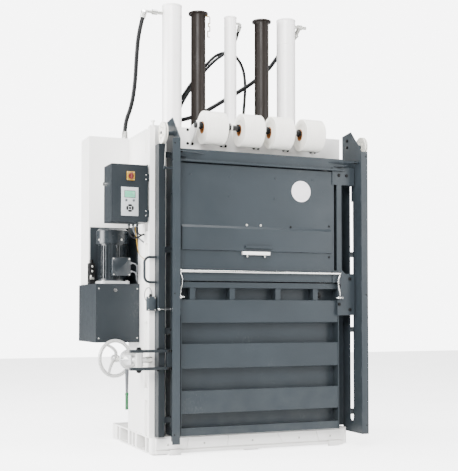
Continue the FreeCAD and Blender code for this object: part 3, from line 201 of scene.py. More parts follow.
def on_lock(shape):
    """Turn a shape drawn along +Y from the lock's pin to where the lock stands."""
    points, faces, paint = shape
    c, s = math.cos(LOCK_TURN), math.sin(LOCK_TURN)
    turn = np.array(((c, -s, 0), (s, c, 0), (0, 0, 1)))
    return points @ turn.T + LOCK_PIN, faces, paint


def flat_list(shapes):
    """Shapes out of a list that holds shapes and lists of shapes."""
    found = []
    for item in shapes:
        found += flat_list(item) if isinstance(item, list) else [item]
    return found


def piece(name, shapes, finishes, body, sharp=35):
    """One mesh object out of shapes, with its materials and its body."""
    shapes = flat_list(shapes)
    points, faces, paints, offset = [], [], [], 0
    for vertices, polygons, paint in shapes:
        points.append(vertices)
        faces += [[offset + i for i in polygon] for polygon in polygons]
        paints += [paint] * len(polygons)
        offset += len(vertices)
    mesh = bpy.data.meshes.new(name)
    mesh.from_pydata(np.vstack(points), [], faces)
    for material in finishes if isinstance(finishes, list) else [finishes]:
        mesh.materials.append(finish(material))
    mesh.polygons.foreach_set("material_index", paints)
    mesh.polygons.foreach_set("use_smooth", [True] * len(faces))
    mesh.set_sharp_from_angle(angle=math.radians(sharp))
    mesh.validate()
    item = bpy.data.objects.new(name, mesh)
    bpy.context.scene.collection.objects.link(item)
    if body:
        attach(item, body)
    return item


# ---------------------------------------------------------------- node groups
def group(name, inputs, outputs):
    """A shader node group with named sockets, and its input and output nodes."""
    tree = bpy.data.node_groups.new(name, "ShaderNodeTree")
    for label, kind, value in inputs:
        socket = tree.interface.new_socket(label, in_out="INPUT", socket_type=kind)
        if value is not None:
            socket.default_value = value
    for label, kind in outputs:
        tree.interface.new_socket(label, in_out="OUTPUT", socket_type=kind)
    return tree, tree.nodes.new("NodeGroupInput"), tree.nodes.new("NodeGroupOutput")


def node(tree, kind, settings=None, **inputs):
    """A node with its settings and the values or links of its inputs."""
    made = tree.nodes.new("ShaderNode" + kind)
    for name, value in (settings or {}).items():
        setattr(made, name, value)
    for name, value in inputs.items():
        socket = made.inputs[int(name[1:]) if name[1:].isdigit() else name.replace("_", " ")]
        if isinstance(value, bpy.types.NodeSocket):
            tree.links.new(value, socket)
        else:
            socket.default_value = value
    return made


def ramp(tree, factor, low, high, to_low=0.0, to_high=1.0):
    """A value taken from one range to another and held at both ends."""
    made = node(tree, "MapRange", Value=factor, From_Min=low, From_Max=high,
                To_Min=to_low, To_Max=to_high)
    return made.outputs[0]


def mix_colour(tree, factor, first, second, blend="MIX"):
    made = node(tree, "Mix", {"data_type": "RGBA", "blend_type": blend}, s0=factor,
                s6=first, s7=second)
    return made.outputs[2]


FLOAT, COLOUR, VECTOR = "NodeSocketFloat", "NodeSocketColor", "NodeSocketVector"


def grain_group():
    """Fine relief: two noises, one fine and one broad, added as a height and a mask."""
    tree, given, out = group("Grain", [("Vector", VECTOR, None), ("Scale", FLOAT, 300.0),
                                       ("Broad", FLOAT, 6.0)],
                             [("Height", FLOAT), ("Mask", FLOAT)])
    fine = node(tree, "TexNoise", Vector=given.outputs[0], Scale=given.outputs[1],
                Detail=3.0, Roughness=0.55)
    broad = node(tree, "TexNoise", Vector=given.outputs[0], Scale=given.outputs[2],
                 Detail=4.0, Roughness=0.6)
    tree.links.new(fine.outputs[0], out.inputs[0])
    tree.links.new(broad.outputs[0], out.inputs[1])
    return tree


def tone_group():
    """Slow changes of shade: a colour made lighter and darker by a broad noise."""
    tree, given, out = group("Tone", [("Vector", VECTOR, None), ("Colour", COLOUR, None),
                                      ("Spread", FLOAT, 0.1), ("Scale", FLOAT, 2.0)],
                             [("Colour", COLOUR)])
    noise = node(tree, "TexNoise", Vector=given.outputs[0], Scale=given.outputs[3],
                 Detail=3.0)
    shade = ramp(tree, noise.outputs[0], 0.3, 0.7, -1.0, 1.0)
    amount = node(tree, "Math", {"operation": "MULTIPLY_ADD"}, s0=shade,
                  s1=given.outputs[2], s2=1.0)
    grey = node(tree, "CombineColor", s0=amount.outputs[0], s1=amount.outputs[0],
                s2=amount.outputs[0])
    tree.links.new(mix_colour(tree, 1.0, given.outputs[1], grey.outputs[0], "MULTIPLY"),
                   out.inputs[0])
    return tree


def wear_group():
    """Small scuffs: thin patches where two noises are both high show another colour."""
    tree, given, out = group("Wear", [("Vector", VECTOR, None), ("Colour", COLOUR, None),
                                      ("Bare", COLOUR, None), ("Amount", FLOAT, 0.1)],
                             [("Colour", COLOUR), ("Mask", FLOAT)])
    stretched = node(tree, "Mapping", Vector=given.outputs[0], Scale=(1.0, 1.0, 0.4))
    fine = node(tree, "TexNoise", Vector=stretched.outputs[0], Scale=110.0, Detail=5.0,
                Roughness=0.7)
    broad = node(tree, "TexNoise", Vector=given.outputs[0], Scale=2.6, Detail=2.0)
    both = node(tree, "Math", {"operation": "MULTIPLY"}, s0=fine.outputs[0],
                s1=broad.outputs[0])
    mask = node(tree, "Math", {"operation": "MULTIPLY"},
                s0=ramp(tree, both.outputs[0], 0.37, 0.45), s1=given.outputs[3])
    tree.links.new(mix_colour(tree, mask.outputs[0], given.outputs[1], given.outputs[2]),
                   out.inputs[0])
    tree.links.new(mask.outputs[0], out.inputs[1])
    return tree


def dust_group():
    """Dust near the floor: a pale film that thins out with height and in patches."""
    tree, given, out = group("Dust", [("Vector", VECTOR, None), ("Colour", COLOUR, None),
                                      ("Dust", COLOUR, None), ("Amount", FLOAT, 0.2),
                                      ("Top", FLOAT, 0.5)],
                             [("Colour", COLOUR), ("Mask", FLOAT)])
    parts = node(tree, "SeparateXYZ", Vector=given.outputs[0])
    height = node(tree, "MapRange", Value=parts.outputs[2], From_Min=0.0,
                  From_Max=given.outputs[4], To_Min=1.0, To_Max=0.0)
    patch = node(tree, "TexNoise", Vector=given.outputs[0], Scale=9.0, Detail=5.0)
    mask = node(tree, "Math", {"operation": "MULTIPLY"}, s0=height.outputs[0],
                s1=ramp(tree, patch.outputs[0], 0.35, 0.65))
    mask = node(tree, "Math", {"operation": "MULTIPLY"}, s0=mask.outputs[0],
                s1=given.outputs[3])
    tree.links.new(mix_colour(tree, mask.outputs[0], given.outputs[1], given.outputs[2]),
                   out.inputs[0])
    tree.links.new(mask.outputs[0], out.inputs[1])
    return tree


GROUPS = {}


def placed(tree, name, **inputs):
    """One of the shared groups, placed in a material with its own values."""
    makers = {"Grain": grain_group, "Tone": tone_group, "Wear": wear_group,
              "Dust": dust_group}
    if name not in GROUPS:
        GROUPS[name] = makers[name]()
    return node(tree, "Group", {"node_tree": GROUPS[name]}, **inputs)


# ---------------------------------------------------------------- materials
def linear(colour):
    """A display colour turned into light, channel by channel, with alpha."""
    return tuple(c / 12.92 if c <= 0.04045 else ((c + 0.055) / 1.055) ** 2.4
                 for c in colour) + (1.0,)


DUST = (0.70, 0.68, 0.64)
BARE = (0.62, 0.62, 0.61)
# name: colour, roughness, metallic, coat, tone, grain scale, grain depth, wear, dust
FINISHES = {
    "slate": ((0.170, 0.195, 0.213), 0.36, 0.0, 0.0, 0.10, 320, 0.10, 0.05, 0.03),
    "charcoal": ((0.135, 0.154, 0.168), 0.38, 0.0, 0.0, 0.08, 320, 0.10, 0.05, 0.02),
    "frame_white": ((0.95, 0.945, 0.935), 0.38, 0.0, 0.15, 0.03, 300, 0.08, 0.05, 0.15),
    "cylinder_white": ((0.97, 0.96, 0.955), 0.30, 0.0, 0.25, 0.02, 260, 0.05, 0.0, 0.0),
    "guide_brown": ((0.100, 0.080, 0.067), 0.42, 0.0, 0.0, 0.10, 200, 0.06, 0.05, 0.0),
    "motor_blue": ((0.115, 0.135, 0.150), 0.26, 0.0, 0.3, 0.12, 300, 0.12, 0.10, 0.1),
    "polished": ((0.86, 0.86, 0.85), 0.18, 1.0, 0.0, 0.05, 500, 0.02, 0.0, 0.0),
    "zinc": ((0.74, 0.74, 0.72), 0.36, 1.0, 0.0, 0.12, 220, 0.06, 0.1, 0.0),
    "dull_steel": ((0.40, 0.41, 0.42), 0.42, 0.7, 0.0, 0.15, 220, 0.08, 0.1, 0.0),
    "black_steel": ((0.055, 0.058, 0.062), 0.42, 0.4, 0.0, 0.15, 300, 0.08, 0.1, 0.0),
    "brass": ((0.72, 0.58, 0.30), 0.34, 0.9, 0.0, 0.12, 250, 0.05, 0.1, 0.0),
    "cast_white": ((0.70, 0.70, 0.695), 0.36, 0.35, 0.1, 0.06, 130, 0.30, 0.10, 0.0),
    "cast_grey": ((0.70, 0.705, 0.71), 0.42, 0.3, 0.05, 0.08, 130, 0.30, 0.10, 0.0),
    "black_plastic": ((0.04, 0.04, 0.044), 0.5, 0.0, 0.0, 0.15, 400, 0.08, 0.0, 0.0),
    "yellow_plastic": ((0.62, 0.47, 0.0), 0.5, 0.0, 0.0, 0.04, 400, 0.03, 0.0, 0.0),
    "red_plastic": ((0.34, 0.002, 0.003), 0.5, 0.0, 0.0, 0.05, 400, 0.03, 0.0, 0.0),
    "green_grip": ((0.0, 0.33, 0.16), 0.38, 0.0, 0.1, 0.08, 260, 0.05, 0.05, 0.0),
    "film_grey": ((0.66, 0.675, 0.68), 0.5, 0.0, 0.0, 0.03, 400, 0.03, 0.0, 0.0),
    "display": ((0.36, 0.66, 0.54), 0.22, 0.0, 0.3, 0.05, 300, 0.02, 0.0, 0.0),
    "key_dark": ((0.05, 0.055, 0.06), 0.45, 0.0, 0.0, 0.08, 400, 0.04, 0.0, 0.0),
    "key_grey": ((0.42, 0.44, 0.45), 0.45, 0.0, 0.0, 0.08, 400, 0.04, 0.0, 0.0),
    "pulley": ((0.90, 0.89, 0.85), 0.42, 0.0, 0.0, 0.06, 200, 0.06, 0.05, 0.0),
    "rope_steel": ((0.66, 0.66, 0.64), 0.34, 1.0, 0.0, 0.15, 500, 0.05, 0.0, 0.0),
    "card": ((0.62, 0.40, 0.20), 0.8, 0.0, 0.0, 0.12, 240, 0.25, 0.0, 0.0),
    "hose": ((0.035, 0.04, 0.045), 0.42, 0.0, 0.0, 0.15, 420, 0.25, 0.0, 0.0),
    "cable_grey": ((0.40, 0.41, 0.42), 0.5, 0.0, 0.0, 0.08, 300, 0.05, 0.0, 0.0),
    "cable_black": ((0.04, 0.04, 0.044), 0.5, 0.0, 0.0, 0.10, 300, 0.05, 0.0, 0.0),
    "disc_white": ((0.90, 0.885, 0.895), 0.4, 0.0, 0.1, 0.03, 300, 0.03, 0.0, 0.0),
}
MADE = {}


def coordinates(tree):
    return node(tree, "TexCoord").outputs["Object"]


def shader(name):
    """An empty material, its node tree and its Principled shader."""
    material = bpy.data.materials.new(name)
    material.use_nodes = True
    tree = material.node_tree
    return material, tree, tree.nodes["Principled BSDF"]


def painted(name):
    """A material out of the table: tone, scuffs and dust in its colour, grain in relief."""
    colour, rough, metallic, coat, tone, scale, depth, wear, dust = FINISHES[name]
    material, tree, surface = shader(name)
    place = coordinates(tree)
    shade = placed(tree, "Tone", Vector=place, Colour=linear(colour), Spread=tone,
                   Scale=2.3).outputs[0]
    if wear:
        bare = BARE if max(colour) < 0.3 else tuple(0.72 * c for c in colour)
        shade = placed(tree, "Wear", Vector=place, Colour=shade, Bare=linear(bare),
                       Amount=wear).outputs[0]
    if dust:
        dirt = DUST if max(colour) < 0.8 else tuple(0.80 * c for c in colour)
        shade = placed(tree, "Dust", Vector=place, Colour=shade, Dust=linear(dirt),
                       Amount=dust, Top=0.7).outputs[0]
    grain = placed(tree, "Grain", Vector=place, Scale=float(scale), Broad=7.0)
    tree.links.new(shade, surface.inputs["Base Color"])
    tree.links.new(ramp(tree, grain.outputs[1], 0.3, 0.7, rough - 0.06, rough + 0.08),
                   surface.inputs["Roughness"])
    surface.inputs["Metallic"].default_value = metallic
    surface.inputs["Coat Weight"].default_value = coat
    surface.inputs["Coat Roughness"].default_value = 0.25
    if max(colour) < 0.3:
        surface.inputs["Specular IOR Level"].default_value = 0.22
    bump = node(tree, "Bump", Height=grain.outputs[0], Strength=depth, Distance=0.001)
    tree.links.new(bump.outputs[0], surface.inputs["Normal"])
    return material


def strap_material():
    """Wound strap: fine threads across each lane and a shade change from lane to lane."""
    material, tree, surface = shader("strap")
    place = coordinates(tree)
    lanes = node(tree, "TexWave", {"wave_type": "BANDS", "bands_direction": "X",
                                   "wave_profile": "SIN"}, Vector=place, Scale=31.0,
                 Distortion=0.15, Detail=1.0)
    threads = node(tree, "TexWave", {"wave_type": "BANDS", "bands_direction": "X",
                                     "wave_profile": "TRI"}, Vector=place, Scale=330.0,
                   Distortion=0.5, Detail=2.0)
    parts = node(tree, "SeparateXYZ", Vector=place)
    across = node(tree, "Math", {"operation": "SUBTRACT"}, s0=parts.outputs[1], s1=-0.52)
    upward = node(tree, "Math", {"operation": "SUBTRACT"}, s0=parts.outputs[2], s1=2.297)
    turn = node(tree, "Math", {"operation": "ARCTAN2"}, s0=upward.outputs[0],
                s1=across.outputs[0])
    weft = node(tree, "Math", {"operation": "SINE"},
                s0=node(tree, "Math", {"operation": "MULTIPLY"}, s0=turn.outputs[0],
                        s1=260.0).outputs[0])
    weave = node(tree, "Math", {"operation": "MULTIPLY_ADD"}, s0=weft.outputs[0], s1=0.35,
                 s2=threads.outputs[1])
    colour = mix_colour(tree, ramp(tree, lanes.outputs[1], 0.1, 0.9, 0.0, 1.0),
                        linear((0.93, 0.92, 0.885)), linear((0.985, 0.975, 0.95)))
    shade = placed(tree, "Tone", Vector=place, Colour=colour, Spread=0.04, Scale=9.0)
    tree.links.new(shade.outputs[0], surface.inputs["Base Color"])
    tree.links.new(ramp(tree, weave.outputs[0], -0.3, 1.3, 0.62, 0.5),
                   surface.inputs["Roughness"])
    surface.inputs["Sheen Weight"].default_value = 0.15
    bump = node(tree, "Bump", Height=weave.outputs[0], Strength=0.35, Distance=0.0006)
    tree.links.new(bump.outputs[0], surface.inputs["Normal"])
    return material


def motor_material():
    """The motor's enamel, with its foot flange in bare light metal below the fins."""
    material = painted("motor_blue").copy()
    material.name = "motor_two_tone"
    tree = material.node_tree
    surface = tree.nodes["Principled BSDF"]
    parts = node(tree, "SeparateXYZ", Vector=coordinates(tree))
    low = ramp(tree, parts.outputs[2], 1.2265, 1.2275, 1.0, 0.0)
    enamel = surface.inputs["Base Color"].links[0].from_socket
    tree.links.new(mix_colour(tree, low, enamel, linear((0.74, 0.75, 0.75))),
                   surface.inputs["Base Color"])
    return material


def roll_bar_material():
    """White brackets with a dark steel bar: the bar's colour shows near its own axis."""
    material = painted("frame_white").copy()
    material.name = "roll_bar_two_tone"
    tree = material.node_tree
    surface = tree.nodes["Principled BSDF"]
    low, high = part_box("strap_roll_1")
    height = (low[2] + high[2]) / 2 + 0.0147
    flat = node(tree, "Mapping", Vector=coordinates(tree), Scale=(0.0, 1.0, 1.0))
    away = node(tree, "VectorMath", {"operation": "DISTANCE"}, s0=flat.outputs[0],
                s1=(0.0, (low[1] + high[1]) / 2, height))
    bar = ramp(tree, away.outputs["Value"], 0.0202, 0.0206, 1.0, 0.0)
    enamel = surface.inputs["Base Color"].links[0].from_socket
    tree.links.new(mix_colour(tree, bar, enamel, linear((0.06, 0.062, 0.066))),
                   surface.inputs["Base Color"])
    return material


def finish(name):
    """A material by name, made the first time it is asked for."""
    if name not in MADE:
        special = {"strap": strap_material, "motor_two_tone": motor_material,
                   "roll_bar_two_tone": roll_bar_material}
        MADE[name] = special[name]() if name in special else painted(name)
    return MADE[name]


NODE_FINISHES = {
    "frame_white": ("base_frame", "sill_plates", "side_wall_left", "side_wall_right",
                    "rear_wall", "top_beam", "hydraulic_housing", "hinge_brackets",
                    "gate_handle"),
    "roll_bar_two_tone": ("roll_bar",),
    "slate": ("door_plate_left", "door_plate_right", "lower_door", "top_rail",
              "gate_panel", "gate_carriage_left", "gate_carriage_right", "door_hinges",
              "ram_platen", "limit_switch"),
    "charcoal": ("weight_tubes", "motor_guard", "power_cabinet", "power_cover",
                 "control_cabinet", "control_door", "lock_arms", "oil_tank"),
    "cylinder_white": ("press_cylinders",),
    "guide_brown": ("guide_tubes",),
    "motor_blue": ("motor_cowl", "terminal_box"),
    "motor_two_tone": ("motor_body",),
    "polished": ("cylinder_rods", "safety_bar", "side_lock", "cover_lock",
                 "switch_plunger"),
    "zinc": ("hose_fittings", "counterweights", "motor_fan"),
    "brass": ("level_cam",),
    "cast_white": ("lock_casting", "handwheel", "lock_lever"),
    "black_plastic": ("valve_block",),
    "yellow_plastic": ("main_switch_plate",),
    "red_plastic": ("main_switch_handle",),
    "film_grey": ("keypad_panel",),
    "pulley": ("rope_pulleys",),
    "rope_steel": ("gate_ropes", "weight_ropes"),
    "strap": ("strap_roll_1", "strap_roll_2", "strap_roll_3", "strap_roll_4"),
    "hose": ("hose_left", "hose_arch", "hose_return", "hose_right"),
}
# ---------------------------------------------------------------- settings
class StageSettings(bpy.types.PropertyGroup):
    """The view and the light."""
    heading: bpy.props.FloatProperty(name="Heading", default=math.radians(22.56),
                                     subtype="ANGLE",
                                     description="Turn of the view from the rear direction")
    pitch: bpy.props.FloatProperty(name="Pitch", default=math.radians(1.9), subtype="ANGLE",
                                   description="Upward tilt of the view")
    lens: bpy.props.FloatProperty(name="Lens", default=73.0, unit="CAMERA",
                                  description="Focal length in millimetres")
    floor_colour: bpy.props.FloatVectorProperty(name="Floor", subtype="COLOR", size=3,
                                                default=(0.86, 0.86, 0.86),
                                                description="Colour of the floor")
    key_power: bpy.props.FloatProperty(name="Key light", default=1280.0, unit="POWER",
                                       description="Power of the main soft light")
    sky: bpy.props.FloatProperty(name="Sky", default=0.24,
                                 description="Strength of the light from all around")
    floor_glow: bpy.props.FloatProperty(name="Floor glow", default=4.0,
                                        description="Light the floor itself gives")
    backdrop: bpy.props.FloatProperty(name="Backdrop", default=7.0,
                                      description="Brightness of the backdrop")


class PieceSettings(bpy.types.PropertyGroup):
    """Sizes of the fine pieces."""
    hose_size: bpy.props.FloatProperty(name="Main hose", default=0.032, unit="LENGTH",
                                       description="Outer diameter of the main hoses")
    thin_hose_size: bpy.props.FloatProperty(name="Thin hose", default=0.023, unit="LENGTH",
                                            description="Outer diameter of the thin hoses")
    rope_size: bpy.props.FloatProperty(name="Rope", default=0.006, unit="LENGTH",
                                       description="Diameter of the wire ropes")
    bolt_size: bpy.props.FloatProperty(name="Bolt", default=0.022, unit="LENGTH",
                                       description="Size of common bolts over the corners")
    lane_width: bpy.props.FloatProperty(name="Strap lane", default=0.016, unit="LENGTH",
                                        description="Width of the strap on the rolls")


class BalerOperator(bpy.types.Operator):
    """Common ground of the operators that make pieces."""
    bl_options = {"REGISTER"}

    def execute(self, context):
        self.make(context.scene.baler_pieces)
        return {"FINISHED"}


# ---------------------------------------------------------------- stage
LAMPS = [("key", (-4.5, -7.0, 5.5), 1.0, 4.0), ("fill", (5.5, -6.5, 3.0), 0.40, 4.0),
         ("top", (0.0, -1.5, 7.5), 0.7, 5.0), ("left", (-7.5, 0.5, 3.0), 1.3, 4.0)]


class BALER_OT_stage(bpy.types.Operator):
    """Floor, soft lights and camera"""
    bl_idname = "baler.stage"
    bl_label = "Stage"

    def execute(self, context):
        settings = context.scene.baler_stage
        data = bpy.data.cameras.new("view")
        data.lens = settings.lens
        data.sensor_width = 36.0
        data.shift_y = 0.095
        data.clip_end = 60.0
        camera = bpy.data.objects.new("view", data)
        camera.location = (-2.836, -6.850, 1.003)
        camera.rotation_euler = (math.pi / 2 + settings.pitch, 0.0, -settings.heading)
        context.scene.collection.objects.link(camera)
        context.scene.camera = camera

        material, tree, surface = shader("floor")
        tone = placed(tree, "Tone", Vector=coordinates(tree),
                      Colour=tuple(settings.floor_colour) + (1.0,), Spread=0.02, Scale=1.5)
        tree.links.new(tone.outputs[0], surface.inputs["Base Color"])
        surface.inputs["Roughness"].default_value = 0.6
        tree.links.new(tone.outputs[0], surface.inputs["Emission Color"])
        seen = node(tree, "LightPath").outputs["Is Camera Ray"]
        tree.links.new(ramp(tree, seen, 0.0, 1.0, 0.5, settings.floor_glow),
                       surface.inputs["Emission Strength"])
        reach = 14.0
        mesh = bpy.data.meshes.new("floor")
        mesh.from_pydata([(-reach, -reach, 0), (reach, -reach, 0), (reach, reach, 0),
                          (-reach, reach, 0)], [], [(0, 1, 2, 3)])
        mesh.materials.append(material)
        floor = bpy.data.objects.new("floor", mesh)
        context.scene.collection.objects.link(floor)

        world = bpy.data.worlds.new("studio")
        world.use_nodes = True
        tree = world.node_tree
        seen = node(tree, "LightPath").outputs["Is Camera Ray"]
        strength = ramp(tree, seen, 0.0, 1.0, settings.sky, settings.backdrop)
        tree.links.new(strength, tree.nodes["Background"].inputs[1])
        tree.nodes["Background"].inputs[0].default_value = (1.0, 1.0, 1.0, 1.0)
        context.scene.world = world
        for name, place, share, size in LAMPS:
            power = share * settings.key_power
            lamp = bpy.data.lights.new(name, "AREA")
            lamp.energy = power
            lamp.size = size
            item = bpy.data.objects.new(name, lamp)
            aim = np.array((0.0, 0.0, 1.4)) - place
            item.rotation_euler = (math.atan2(math.hypot(aim[0], aim[1]), -aim[2]), 0.0,
                                   math.atan2(-aim[0], aim[1]))
            item.location = place
            context.scene.collection.objects.link(item)
        return {"FINISHED"}


# ---------------------------------------------------------------- pieces
class BALER_OT_finishes(BalerOperator):
    """Procedural finishes on every node of the frame"""
    bl_idname = "baler.finishes"
    bl_label = "Finishes"

    def make(self, sizes):
        for name, names in NODE_FINISHES.items():
            for label in names:
                mesh = NODES[label].data
                mesh.materials.clear()
                mesh.materials.append(finish(name))


LEFT_HOSE = [(-.702, -.050, 3.248), (-.738, -.038, 3.108), (-.742, .005, 2.935),
             (-.735, .060, 2.745), (-.748, .108, 2.570), (-.790, .150, 2.440),
             (-.790, .150, 2.335)]
ARCH_HOSE = [(-.424, .150, 2.335), (-.424, .150, 2.430), (-.392, .150, 2.560),
             (-.320, .150, 2.698), (-.228, .150, 2.830), (-.130, .150, 2.955),
             (-.020, .150, 3.066), (.110, .150, 3.078), (.192, .150, 2.980),
             (.216, .150, 2.840), (.206, .150, 2.680), (.190, .150, 2.510),
             (.190, .150, 2.335)]
RETURN_HOSE = [(.082, -.038, 3.230), (.086, .012, 3.178), (.078, .072, 3.122),
               (.030, .112, 3.062), (-.080, .116, 2.980), (-.186, .116, 2.856),
               (-.290, .116, 2.716), (-.372, .116, 2.565), (-.386, .116, 2.430),
               (-.386, .116, 2.335)]
RIGHT_HOSE = [(-.462, .084, 2.335), (-.462, .084, 2.415), (-.412, .084, 2.478),
              (-.290, .084, 2.506), (-.149, .084, 2.573), (.003, .084, 2.673),
              (.140, .084, 2.758), (.280, .084, 2.858), (.396, .084, 2.962),
              (.480, .084, 3.082), (.566, .066, 3.178), (.598, .018, 3.234)]


def line(name, route, size, material, body):
    """A round cord on a smooth NURBS line that a route controls."""
    data = bpy.data.curves.new(name, "CURVE")
    data.dimensions = "3D"
    data.bevel_depth = size / 2
    data.bevel_resolution = 4
    data.resolution_u = 10
    data.use_fill_caps = True
    spline = data.splines.new("NURBS")
    spline.points.add(len(route) - 1)
    spline.points.foreach_set("co", np.column_stack(
        [np.array(route), np.ones(len(route))]).ravel())
    spline.order_u = 3
    spline.use_endpoint_u = True
    data.materials.append(finish(material))
    item = bpy.data.objects.new(name, data)
    bpy.context.scene.collection.objects.link(item)
    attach(item, body)
    return item


class BALER_OT_hoses(BalerOperator):
    """Hydraulic hoses with crimped ferrules and hexagon nuts"""
    bl_idname = "baler.hoses"
    bl_label = "Hoses"

    def make(self, sizes):
        big, thin = sizes.hose_size, sizes.thin_hose_size
        shapes = []
        for name, route, size, length in (
                ("hose_left", LEFT_HOSE, big, 0.948), ("hose_arch", ARCH_HOSE, thin, 1.748),
                ("hose_return", RETURN_HOSE, thin, 1.113),
                ("hose_right", RIGHT_HOSE, big, 1.461)):
            item = line(name + "_rubber", route, size, "hose", "frame")
            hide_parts(name)
            for end, near in ((route[0], route[1]), (route[-1], route[-2])):
                shapes += self.ferrule(np.array(end), np.array(near) - end, size / 2)
        piece("hose_ferrules", shapes, ["zinc", "polished"], "frame")

    def ferrule(self, end, along, radius):
        """A crimped sleeve over the hose end and a hexagon nut behind it."""
        along = along / np.linalg.norm(along)
        step = np.linspace(0, 1, 13)
        ripple = 1.28 + 0.07 * (np.arange(13) % 2)
        length = 2.6 * radius
        sleeve = np.column_stack([radius * ripple, length * step])
        sleeve = np.vstack([(0.6 * radius, 0), sleeve, (1.02 * radius, length + 0.001)])
        nut = [(0.8 * radius, 0), (1.5 * radius, 0.001), (1.5 * radius, 0.9 * radius),
               (1.2 * radius, radius)]
        return [turned(sleeve, end, along, 20),
                turned(nut, end - along * radius, along, 6, paint=1)]


class BALER_OT_cables(BalerOperator):
    """Thin electric cables of the motor, the control cabinet and the limit switch"""
    bl_idname = "baler.cables"
    bl_label = "Cables"

    def make(self, sizes):
        for name, route, size, material, length in CABLES:
            item = line(name, route, size, material, "frame")


CABLES = [
    ("motor_cable_upper", [(-.838, -.210, 1.355), (-.815, -.210, 1.354),
                           (-.796, -.206, 1.330), (-.796, -.194, 1.285),
                           (-.796, -.178, 1.250), (-.781, -.160, 1.235)],
     .009, "cable_grey", .161),
    ("motor_cable_lower", [(-.838, -.210, 1.295), (-.817, -.212, 1.293),
                           (-.802, -.206, 1.270), (-.798, -.190, 1.235),
                           (-.781, -.176, 1.215)], .009, "cable_grey", .114),
    ("cabinet_cable_left", [(-.906, -.364, 1.615), (-.908, -.366, 1.570),
                            (-.890, -.372, 1.530), (-.850, -.366, 1.525),
                            (-.815, -.340, 1.545), (-.781, -.320, 1.560)],
     .012, "cable_black", .213),
    ("cabinet_cable_middle", [(-.876, -.364, 1.615), (-.874, -.362, 1.580),
                              (-.850, -.350, 1.550), (-.815, -.330, 1.520),
                              (-.781, -.315, 1.500)], .012, "cable_grey", .166),
    ("cabinet_cable_right", [(-.846, -.364, 1.615), (-.846, -.364, 1.575),
                             (-.824, -.352, 1.545), (-.781, -.335, 1.555)],
     .010, "cable_black", .119),
    ("earth_wire", [(-.861, -.364, 1.606), (-.858, -.366, 1.560), (-.848, -.366, 1.500),
                    (-.838, -.356, 1.440), (-.815, -.340, 1.395), (-.781, -.330, 1.380)],
     .005, "yellow_plastic", .257),
    ("switch_cable", [(-.781, -.500, 1.112), (-.781, -.500, 1.150), (-.800, -.495, 1.178),
                      (-.824, -.485, 1.158), (-.826, -.470, 1.110), (-.806, -.458, 1.075),
                      (-.781, -.450, 1.070)], .006, "cable_grey", .210),
]


class BALER_OT_strap_rolls(BalerOperator):
    """Rolls of wound strap on cardboard cores"""
    bl_idname = "baler.strap_rolls"
    bl_label = "Strap rolls"

    def make(self, sizes):
        for number in range(1, 5):
            label = "strap_roll_%d" % number
            low, high = corners(label)
            centre = np.array((low[0], (low[1] + high[1]) / 2, (low[2] + high[2]) / 2))
            width, radius = high[0] - low[0], (high[2] - low[2]) / 2
            winding = self.winding(width, radius, 0.043, sizes.lane_width, number)
            core = [(0.0352, -0.001), (0.0432, -0.001), (0.0432, width + 0.001),
                    (0.0352, width + 0.001)]
            bar = centre.copy()
            item = piece(label + "_wound", [
                turned(winding, centre, X, 96, loop=True),
                turned(core, centre, X, 48, loop=True, paint=1)],
                ["strap", "card"], "roll_%d" % number, 50)
            bar[2] += 0.0147
            clip = [(0.0203, 0.0), (0.0275, 0.001), (0.0275, 0.010), (0.0203, 0.011)]
            piece("roll_clip_%d" % number, [
                turned(clip, bar - 0.017 * X, X, 28, loop=True),
                turned([(0.004, 0), (0.0085, 0.001), (0.0085, 0.012), (0.006, 0.014)],
                       bar - 0.0115 * X - 0.026 * Y, -Y, 12)],
                "black_plastic", "frame", 45)
            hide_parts(label)

    def winding(self, width, radius, bore, lane, number):
        """Profile of the winding.

        Across the outside each lane is a shallow arch. On the sides each layer stands
        out by the sum of two sines of its radius, so the layers are slightly uneven.
        """
        across = np.linspace(0.004, width - 0.004, 70)
        arch = 0.0011 * np.abs(np.sin(math.pi * (across + 0.003 * number) / lane)) ** 0.5
        rim = np.column_stack([radius - 0.0016 + arch, across])
        layer = np.linspace(bore, radius - 0.003, 26)
        uneven = 0.0007 * (np.sin(900 * layer + number) + np.sin(2300 * layer)) + 0.0015
        near = np.column_stack([layer, uneven])
        far = np.column_stack([layer[::-1], width - uneven[::-1]])
        return np.vstack([near, rim, far])


def helix(start, end, radius, strands, turns, strand_radius, sides=6):
    """Rope strands: each is a round section on a helix around the straight rope line."""
    start, end = np.asarray(start, float), np.asarray(end, float)
    side, up, _ = square_to(end - start)
    share = np.linspace(0, 1, int(turns * 10) + 1)
    middle = np.outer(1 - share, start) + np.outer(share, end)
    shapes = []
    for i in range(strands):
        angle = 2 * math.pi * (turns * share + i / strands)
        path = middle + radius * (np.cos(angle)[:, None] * side + np.sin(angle)[:, None] * up)
        shapes.append(carried(path, strand_radius, sides, X))
    return shapes


